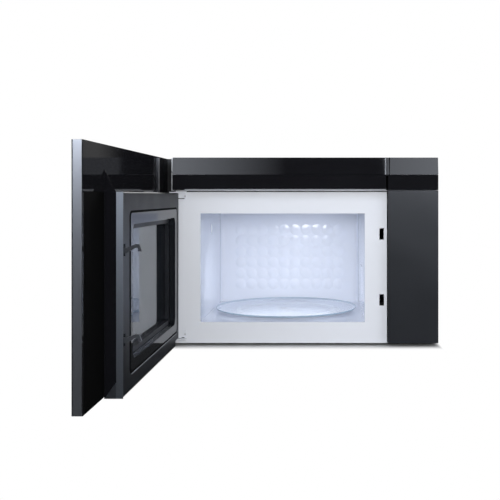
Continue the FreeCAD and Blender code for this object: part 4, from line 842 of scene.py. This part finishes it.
def add_front_lines():
    """Thin bars on the front: a dark strip of painted shade under the top trim, and the rolled lip at its
    foot whose pale satin paints a highlight; the pale edge, also a painted highlight, and the dark joint of
    the upper trim's right end; a dark skin of painted shade down the right trim's inner side; a dark backing
    of painted shade behind the lower trim's notch; and a dark slot across each hinge bracket's right end."""
    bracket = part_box("upper_hinge_bracket")[1][0]
    end_low, end_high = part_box("upper_trim_end")
    notch = closed_box("choke_frame")[1][0] - LIP_END_GAP
    plate, trim, end = PLATE_LOW[1], LOWER_TRIM_LOW[1], end_low[1]
    foot, side = LOWER_TRIM_LOW[2], RIGHT_TRIM_LOW[0]
    seam = foot - SEAM_DROP
    edge = end_low[0] - END_EDGE_BEFORE
    joint = end_low[0] + END_JOINT_PAST
    rows = [
        # painted shade: a dark strip for the shadowed gap under the top trim
        ("plate_top_shade_strip", (bracket, plate - SEAM_PROUD, seam - SEAM_HEIGHT), (side, plate - FACE_GAP, seam),
         SEAM_PROUD * SKIN_ROUND, "black_plastic", "black_plastic"),
        # the lip's pale satin paints the highlight on the trim's rounded lower edge
        ("trim_lip", (bracket, trim - LIP_PROUD, foot), (notch, trim - FACE_GAP, foot + LIP_HEIGHT),
         LIP_PROUD * LINE_ROUND, "lip_satin", "gloss_black"),
        # a pale edge that paints a highlight along the trim end
        ("trim_end_edge", (edge, end - LIP_PROUD, end_low[2]),
         (edge + END_LINE_WIDTH, end - FACE_GAP, end_high[2]),
         SIDE_SKIN * LINE_ROUND, "lip_satin", "gloss_black"),
        ("trim_end_joint", (joint, end - SIDE_SKIN, end_low[2]),
         (joint + END_LINE_WIDTH, end - FACE_GAP, end_high[2]),
         SIDE_SKIN * LINE_ROUND, "seal_black", "gloss_black"),
        # painted shade: a dark skin for the shadow down the right trim's inner side
        ("right_trim_side_shade", (side - SIDE_SKIN, RIGHT_TRIM_LOW[1], RIGHT_TRIM_LOW[2]),
         (side - FACE_GAP, plate - SIDE_SKIN, RIGHT_TRIM_HIGH[2]),
         SIDE_SKIN * SKIN_ROUND, "seal_black", "black_plastic"),
        # painted shade: a dark backing for the shade in the lower trim's notch
        ("trim_notch_shade", (notch, plate - SIDE_SKIN, foot),
         (side + NOTCH_BACK_PAST, plate - FACE_GAP, LOWER_TRIM_HIGH[2]),
         SIDE_SKIN * SKIN_ROUND, "seal_black", "black_plastic")]
    for which, rise, length in (("upper", UPPER_SLOT_RAISE, UPPER_SLOT_LENGTH),
                                ("lower", LOWER_SLOT_RAISE, LOWER_SLOT_LENGTH)):
        low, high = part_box(which + "_hinge_bracket")
        right = high[0] - SLOT_INSET
        rows.append((which + "_bracket_slot", (right - length, low[1] - SEAM_PROUD, low[2] + rise),
                     (right, low[1] - FACE_GAP, low[2] + rise + SLOT_HEIGHT),
                     SEAM_PROUD * SKIN_ROUND, "black_plastic", "black_plastic"))
    for name, low, high, round_off, finish_name, slot in rows:
        add_solid(name, bar(low, high, round_off), finish_name, "cabinet")


def add_pin_head():
    """The polished low dome on top of the upper hinge pin."""
    low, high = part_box("hinge_pins")
    centre = (np.array(low) + np.array(high)) / 2
    r, z = low_dome(PIN_HEAD_RADIUS, PIN_HEAD_RISE, PIN_HEAD_STEPS)
    head = lathe(r, high[2] + z + FACE_GAP, centre, PIN_HEAD_SIDES)
    add_solid("hinge_pin_head", head, "bright_steel", "cabinet", smooth=True)


# Back of the oven

def add_rear_details():
    """Flush details of the back sheet: a dark line of painted shade along its fold, a row of hanging slots
    and its screws.

    The fold line is a ring between two loops; each screw is a low dome turned to face +Y."""
    low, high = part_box("rear_panel")
    back = high[1] + FACE_GAP
    edge = (low[0] + FOLD_INSET, high[0] - FOLD_INSET, low[2] + FOLD_INSET, high[2] - FOLD_INSET)
    # painted shade: a dark ring where the sheet is folded
    fold = ring_between(rounded_loop(*edge, FOLD_CORNER), inset_loop(edge, FOLD_LINE, FOLD_CORNER),
                        back, back + BACK_SKIN)
    add_ring("rear_fold_shade_line", fold, "black_plastic", "cabinet")
    middle = (low[0] + high[0]) / 2
    span = (high[0] - low[0]) / 2 - HANG_SLOT_INSET
    foot = low[2] + HANG_SLOT_RAISE
    for number, x in enumerate(middle + span * np.linspace(-1.0, 1.0, HANG_SLOTS)):
        start = (x - HANG_SLOT_WIDTH / 2, back, foot)
        end = (x + HANG_SLOT_WIDTH / 2, back + BACK_SKIN, foot + HANG_SLOT_HEIGHT)
        slot = bar(start, end, BACK_SKIN * SKIN_ROUND)
        add_solid("hanging_slot_%d" % (number + 1), slot, "black_plastic", "cabinet")
    dome = lathe(*low_dome(BACK_SCREW, BACK_SCREW_RISE, BACK_SCREW_STEPS), (0.0, 0.0), BACK_SCREW_SIDES)
    upright = np.stack([dome[..., 0], dome[..., 2], -dome[..., 1]], axis=-1)
    inset = FOLD_INSET / 2
    heights = np.linspace(low[2] + inset, high[2] - inset, BACK_SCREW_ROWS)
    places = [(x, z) for x in (low[0] + inset, high[0] - inset) for z in heights]
    for number, (x, z) in enumerate(places):
        name = "back_screw_%d" % (number + 1)
        screw = upright + np.array([x, back, z])
        add_solid(name, screw, "bright_steel", "cabinet", smooth=True)


# Touch keypad on the door's front glass

def flat_digits(text, size):
    """The outline of plain numbers as a thin solid: points (x, y, z) about the middle, and the faces."""
    curve = bpy.data.curves.new("digits", "FONT")
    curve.body = text
    curve.size = size
    curve.align_x = "CENTER"
    curve.align_y = "CENTER"
    curve.extrude = PRINT_THICKNESS / 2
    curve.resolution_u = DIGIT_CURVE_STEPS
    holder = bpy.data.objects.new("digits", curve)
    mesh = bpy.data.meshes.new_from_object(holder)
    points = np.empty(len(mesh.vertices) * 3)
    mesh.vertices.foreach_get("co", points)
    faces = [list(face.vertices) for face in mesh.polygons]
    bpy.data.objects.remove(holder)
    bpy.data.meshes.remove(mesh)
    bpy.data.curves.remove(curve)
    return points.reshape(-1, 3), faces


def on_glass(points, x, z, front):
    """Flat work (x, y, z) stood up on the closed door's front: x to the right, y up, z towards the user."""
    lift = front - FACE_GAP - PRINT_THICKNESS / 2
    return np.stack([x + points[:, 0], lift - points[:, 2], z + points[:, 1]], axis=-1)


def key_outline(width, height):
    """A thin rounded frame, as a closed ring of square section, about its middle."""
    x, y, half = width / 2, height / 2, PRINT_THICKNESS / 2
    outer = rounded_loop(-x, x, -y, y, KEY_CORNER, KEY_CORNER_STEPS)
    inner = rounded_loop(-x + KEY_LINE, x - KEY_LINE, -y + KEY_LINE, y - KEY_LINE,
                         KEY_CORNER - KEY_LINE, KEY_CORNER_STEPS)
    section = [(outer, -half), (outer, half), (inner, half), (inner, -half)]
    ring = np.stack([np.column_stack([loop, np.full(len(loop), z)]) for loop, z in section], axis=1)
    index = np.arange(len(outer) * 4).reshape(-1, 4)
    after = np.roll(index, -1, axis=0)
    quads = np.stack([index, after, np.roll(after, -1, axis=1), np.roll(index, -1, axis=1)], axis=-1)
    return ring.reshape(-1, 3), quads.reshape(-1, 4).tolist()


def add_print(name, parts, front):
    """Several flat shapes, each (points, faces, x, z), joined into one thin print on the door's glass."""
    points, faces, count = [], [], 0
    for shape, shape_faces, x, z in parts:
        points.append(on_glass(shape, x, z, front))
        faces.extend([[corner + count for corner in face] for face in shape_faces])
        count += len(shape)
    mesh = bpy.data.meshes.new(name)
    mesh.from_pydata(swung(np.concatenate(points)).tolist(), [], faces)
    add_piece(name, outward(mesh), "key_print", "door")


def add_keypad():
    """Plain numbers in a grid of rounded outlines, with a clock window above them."""
    board_low, board_high = closed_box("touch_board")
    front = closed_box("door_front_glass")[0][1]
    middle = (board_low[0] + board_high[0]) / 2
    top = board_high[2] - CLOCK_HEIGHT - KEY_PITCH_Z
    outlines, digits = [], []
    for index, label in enumerate(KEY_LABELS):
        row, column = divmod(index, KEY_COLUMNS)
        x = middle + (column - (KEY_COLUMNS - 1) / 2) * KEY_PITCH_X
        z = top - row * KEY_PITCH_Z
        outlines.append((*key_outline(KEY_WIDTH, KEY_HEIGHT), x, z))
        if label:
            digits.append((*flat_digits(label, DIGIT_SIZE), x, z))
    clock = board_high[2] - CLOCK_HEIGHT / 2
    clock_width = (KEY_COLUMNS - 1) * KEY_PITCH_X + KEY_WIDTH
    outlines.append((*key_outline(clock_width, CLOCK_HEIGHT), middle, clock))
    digits.append((*flat_digits(CLOCK_TEXT, CLOCK_HEIGHT * CLOCK_SHARE), middle, clock))
    add_print("key_outlines", outlines, front)
    add_print("key_numbers", digits, front)


# Cavity and glass turntable

def add_tray():
    """A lathe of the dish's section: a flat base, a rising heel, a rolled rim and the flat floor inside it.

    The heel is r = heel + length sin t and z = base + rise (1 - cos t); the rim is a half circle."""
    base, rim = TRAY_LOW[2], TRAY_HIGH[2]
    floor = base + TRAY_WALL
    roll_middle = rim - TRAY_BEAD
    turn = np.linspace(0.0, math.pi / 2, TRAY_HEEL_STEPS)
    back_turn = turn[::-1]
    half = np.linspace(0.0, math.pi, TRAY_RIM_STEPS)[1:-1]
    heel = TRAY_RADIUS - TRAY_HEEL
    pole = TRAY_HUB * POLE_SHARE
    r = np.concatenate([[pole], heel + TRAY_HEEL * np.sin(turn),
                        TRAY_RADIUS - TRAY_BEAD + TRAY_BEAD * np.cos(half),
                        heel - 2 * TRAY_BEAD + TRAY_HEEL * np.sin(back_turn), [TRAY_HUB, pole]])
    z = np.concatenate([[base], base + (roll_middle - base) * (1 - np.cos(turn)),
                        roll_middle + TRAY_BEAD * np.sin(half),
                        floor + (roll_middle - floor) * (1 - np.cos(back_turn)), [floor, floor]])
    tray = lathe(r, z, TRAY_CENTRE, TRAY_SIDES)
    piece = add_solid("turntable_tray", tray, "tray_glass", "turntable", smooth=True)
    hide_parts("glass_tray")


def add_cavity_corners():
    """Rounded upright corners at the cavity's back: a hollow quarter circle carried from floor to roof."""
    turn = np.linspace(0.0, math.pi / 2, CAVITY_CORNER_STEPS)
    back = CAVITY_HIGH[1] - CAVITY_SHEET - FACE_GAP
    heights = (CAVITY_LOW[2] + CAVITY_SHEET, CAVITY_HIGH[2] - CAVITY_SHEET)
    for side, wall, way in (("left", CAVITY_LOW[0], 1.0), ("right", CAVITY_HIGH[0], -1.0)):
        corner = wall + way * (CAVITY_SHEET + FACE_GAP)
        x = np.concatenate([[corner], corner + way * CAVITY_CORNER * (1 - np.cos(turn))])
        y = np.concatenate([[back], back - CAVITY_CORNER * (1 - np.sin(turn))])
        hollow = at_heights(np.column_stack([x, y]), heights)
        add_solid("cavity_corner_" + side, hollow, "cavity_enamel", "cabinet")


def add_back_domes():
    """Rows of shallow domes pressed into the cavity's back wall, over its plain embosses.

    On a grid of x and z the surface stands off the wall by rise (1 - (r / radius)^2) inside each dome,
    where r is the distance from its middle. The rim lies on the wall, and one flat face closes it."""
    across = (np.arange(DOME_COLUMNS * DOME_CELLS + 1) / DOME_CELLS - DOME_COLUMNS / 2) * DOME_PITCH
    up = (np.arange(DOME_ROWS * DOME_CELLS + 1) / DOME_CELLS - 0.5) * DOME_PITCH
    off_x = (across + DOME_COLUMNS / 2 * DOME_PITCH) % DOME_PITCH - DOME_PITCH / 2
    off_z = (up + DOME_PITCH / 2) % DOME_PITCH - DOME_PITCH / 2
    share = 1 - (off_x[:, None] ** 2 + off_z[None, :] ** 2) / DOME_RADIUS ** 2
    stand = FACE_GAP + DOME_RISE * np.maximum(share, 0.0)
    stand[[0, -1], :] = FACE_GAP / 2
    stand[:, [0, -1]] = FACE_GAP / 2
    wall = CAVITY_HIGH[1] - CAVITY_SHEET
    lowest = CAVITY_LOW[2] + CAVITY_SHEET + DOME_FLOOR_GAP
    x, z = np.meshgrid(TRAY_CENTRE[0] + across, lowest + up, indexing="ij")
    points = np.stack([x, wall - stand, z], axis=-1)
    index = np.arange(x.size).reshape(x.shape)
    rim = np.concatenate([index[:-1, 0], index[-1, :-1], index[:0:-1, -1], index[0, :0:-1]])
    mesh = with_faces(grid_mesh("back_domes", points), points, [rim.tolist()])
    add_piece("back_domes", mesh, "cavity_enamel", "cabinet")


# Studio and camera

def add_camera():
    """The photograph's camera, square to the oven's front, with its picture shifted off the lens's axis."""
    lens = bpy.data.cameras.new("photo_camera")
    lens.sensor_width = SENSOR_WIDTH
    lens.lens = FOCAL_PIXELS * SENSOR_WIDTH / PHOTO_PIXELS
    lens.shift_x = 0.5 - PRINCIPAL_X / PHOTO_PIXELS
    lens.shift_y = PRINCIPAL_Y / PHOTO_PIXELS - 0.5
    lens.clip_end = CLIP_END
    camera = bpy.data.objects.new("photo_camera", lens)
    camera.location = (EYE_X, PLATE_LOW[1] - EYE_TO_FRONT_PLATE, EYE_Z)
    camera.rotation_euler = (math.radians(90.0), 0.0, 0.0)
    bpy.context.scene.collection.objects.link(camera)
    bpy.context.scene.camera = camera


def white_for_sight(nodes, links, mirror_share):
    """1 for clear rays, from the camera or through glass, mirror_share for mirrored; then each kind."""
    path = nodes.new("ShaderNodeLightPath")
    gloss = path.outputs["Is Glossy Ray"]
    mirrored = math_node(nodes, links, "MULTIPLY", gloss, mirror_share)
    through_glass = path.outputs["Is Transmission Ray"]
    clear = math_node(nodes, links, "MAXIMUM", path.outputs["Is Camera Ray"], through_glass)
    return math_node(nodes, links, "MAXIMUM", clear, mirrored), clear, gloss


def add_world():
    """White to the camera, and pale to the oven's gloss at its back and sides; elsewhere a dim room to
    gloss, and to matt faces a grey fill that grows towards the camera.

    Back and sides are told by the slope |x| / y of a ray that runs to the back."""
    world = bpy.data.worlds.new("studio")
    world.use_nodes = True
    nodes, links = world.node_tree.nodes, world.node_tree.links
    x, y, _ = split_place(nodes, links, "Generated")
    ahead = math_node(nodes, links, "MAXIMUM", y, ROOM_AHEAD_LEAST)
    apart = math_node(nodes, links, "ABSOLUTE", x, 0.0)
    behind = math_node(nodes, links, "GREATER_THAN", y, 0.0)
    slope = math_node(nodes, links, "DIVIDE", apart, ahead)
    slope = math_node(nodes, links, "MULTIPLY", slope, behind)
    back = map_range(nodes, links, slope, ROOM_BACK_SLOPE, (0.0, ROOM_BACK), smooth=True)
    side = map_range(nodes, links, slope, ROOM_SIDE_SLOPE, (0.0, ROOM_SIDE), smooth=True)
    seen = math_node(nodes, links, "MAXIMUM", back, side)
    white, _, gloss = white_for_sight(nodes, links, seen)
    front = math_node(nodes, links, "MULTIPLY", y, -1.0)
    fill = mix_color(nodes, links, front, ROOM_FILL, ROOM_FRONT)
    room = mix_color(nodes, links, gloss, fill, ROOM_DARK)
    links.new(mix_color(nodes, links, white, room, WHITE), nodes["Background"].inputs["Color"])
    bpy.context.scene.world = world


def add_sheet(name, low, high, material):
    """A flat studio sheet, laid out or upright, with one corner at low and the opposite one at high."""
    x0, y0, z0 = low
    x1, y1, z1 = high
    corners = np.array([[[x0, y0, z0], [x0, y1, z1]], [[x1, y0, z0], [x1, y1, z1]]])
    sheet = bpy.data.objects.new(name, grid_mesh(name, corners))
    bpy.context.scene.collection.objects.link(sheet)
    sheet.data.materials.append(material)
    return sheet


def add_floor():
    """A pale floor, white to the camera away from the oven; near it a lit grey that takes the oven's real
    shadow and also paints shade round the cabinet's foot.
    """
    material, nodes, links, shader = new_material("pale_floor")
    shader.inputs["Base Color"].default_value = FLOOR_SHADE_GREY
    shader.inputs["Roughness"].default_value = FLOOR_ROUGHNESS
    glow = nodes.new("ShaderNodeEmission")
    mix = nodes.new("ShaderNodeMixShader")
    white, clear, gloss = white_for_sight(nodes, links, FLOOR_MIRROR)
    links.new(white, glow.inputs["Strength"])
    x, y, _ = split_place(nodes, links, "Object")
    # painted shade: the lit grey shows only within the reach of the cabinet, narrower at its sides, white
    # beyond
    outside = []
    for place, low, high in zip((x, y), *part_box("outer_cabinet")):
        past_low = math_node(nodes, links, "SUBTRACT", float(low), place)
        past_high = math_node(nodes, links, "SUBTRACT", place, float(high))
        outside.append(math_node(nodes, links, "MAXIMUM", past_low, past_high))
    outside[0] = math_node(nodes, links, "MULTIPLY", outside[0], FLOOR_SIDE_SHARE)
    away = math_node(nodes, links, "MAXIMUM", *outside)
    fade = map_range(nodes, links, away, (0.0, FLOOR_SHADE_REACH), smooth=True)
    shown = math_node(nodes, links, "MULTIPLY", clear, fade)
    links.new(math_node(nodes, links, "MAXIMUM", shown, gloss), mix.inputs["Fac"])
    links.new(shader.outputs["BSDF"], mix.inputs[1])
    links.new(glow.outputs["Emission"], mix.inputs[2])
    links.new(mix.outputs["Shader"], nodes["Material Output"].inputs["Surface"])
    level = CAD_BOX[0][2] - FLOOR_DROP
    add_sheet("floor", (-FLOOR_HALF, -FLOOR_HALF, level), (FLOOR_HALF, FLOOR_HALF, level), material)


def add_softbox(name, span, power, fade):
    """An upright glowing card behind the camera that faces the oven; fade dims it towards the middle."""
    material, nodes, links, shader = new_material(name)
    nodes.remove(shader)
    glow = nodes.new("ShaderNodeEmission")
    glow.inputs["Color"].default_value = SOFTBOX_TINT
    path = nodes.new("ShaderNodeLightPath")
    across = split_place(nodes, links, "Object")["X"]
    strength = map_range(nodes, links, path.outputs["Is Diffuse Ray"], (0.0, 1.0),
                         (power, power * SOFTBOX_DIFFUSE_SHARE))
    ramp = map_range(nodes, links, across, fade, (1.0, 0.0))
    links.new(math_node(nodes, links, "MULTIPLY", strength, ramp), glow.inputs["Strength"])
    links.new(glow.outputs["Emission"], nodes["Material Output"].inputs["Surface"])
    card = add_sheet(name, (span[0], SOFTBOX_Y, SOFTBOX_LOW), (span[1], SOFTBOX_Y, SOFTBOX_HIGH), material)
    card.visible_camera = False


def add_area_light(name, place, size, watts, seen_in_gloss, tilt=90.0):
    """A soft rectangle of light, tilted from facing down; at 90 degrees it faces +Y, as the camera does."""
    lamp = bpy.data.lights.new(name, "AREA")
    lamp.shape = "RECTANGLE"
    lamp.size, lamp.size_y = size
    lamp.energy = watts
    holder = bpy.data.objects.new(name, lamp)
    holder.location = place
    holder.rotation_euler = (math.radians(tilt), 0.0, 0.0)
    holder.visible_camera = False
    holder.visible_glossy = seen_in_gloss
    bpy.context.scene.collection.objects.link(holder)
    return holder


def add_cavity_lights():
    """The oven's own lamp under its roof, a lamp there that shows in gloss
    alone, and soft light in at the mouth."""
    roof = CAVITY_HIGH[2] - CAVITY_LAMP_DROP
    add_area_light("cavity_light", (*CAVITY_LAMP_PLACE, roof), (CAVITY_LAMP_SIZE, CAVITY_LAMP_SIZE),
                   CAVITY_LAMP_WATTS, True, tilt=0.0)
    glint = add_area_light("cavity_glint", (*CAVITY_GLINT_PLACE, roof),
                           (CAVITY_GLINT_SIZE, CAVITY_GLINT_SIZE), CAVITY_GLINT_WATTS, True, tilt=0.0)
    glint.visible_diffuse = False
    width = CAVITY_HIGH[0] - CAVITY_LOW[0] - 2 * CAVITY_FILL_SIDE_GAP
    height = (CAVITY_HIGH[2] - CAVITY_LOW[2]) * CAVITY_FILL_HEIGHT
    lean = height / 2 * math.sin(math.radians(CAVITY_FILL_TILT))
    place = ((CAVITY_LOW[0] + CAVITY_HIGH[0]) / 2, CAVITY_LOW[1] + CAVITY_FILL_INSET + lean,
             CAVITY_LOW[2] + CAVITY_FILL_RAISE + height / 2)
    mouth = add_area_light("cavity_fill", place, (width, height), CAVITY_FILL_WATTS, False,
                           tilt=90.0 - CAVITY_FILL_TILT)
    mouth.data.spread = math.radians(CAVITY_FILL_SPREAD)


def add_eye_light():
    """Soft light from just above and right of the lens, which leaves hardly a shadow in sight."""
    place = (EYE_X + EYE_LIGHT_SHIFT[0], PLATE_LOW[1] - EYE_TO_FRONT_PLATE, EYE_Z + EYE_LIGHT_SHIFT[1])
    add_area_light("eye_light", place, (EYE_LIGHT_SIZE, EYE_LIGHT_SIZE), EYE_LIGHT_WATTS, False)


def add_rear_light():
    """Soft light from above and behind, for the oven's back."""
    add_area_light("rear_light", REAR_LIGHT_PLACE, REAR_LIGHT_SIZE, REAR_LIGHT_WATTS, True,
                   tilt=REAR_LIGHT_TILT - 90.0)


dress_nodes()
add_door_edge()
add_cover_rings()
add_cover_end()
add_panel_film()
add_corner_web()
add_front_lines()
add_latch_spring()
add_keypad()
add_rear_details()
add_tray()
add_cavity_corners()
add_back_domes()
add_pin_head()
add_camera()
add_world()
add_floor()
add_softbox("left_softbox", LEFT_SOFTBOX, LEFT_SOFTBOX_POWER, LEFT_SOFTBOX_FADE)
add_softbox("right_softbox", RIGHT_SOFTBOX, RIGHT_SOFTBOX_POWER, RIGHT_SOFTBOX_FADE)
add_cavity_lights()
add_eye_light()
add_rear_light()
bpy.context.scene.view_settings.view_transform = "Standard"
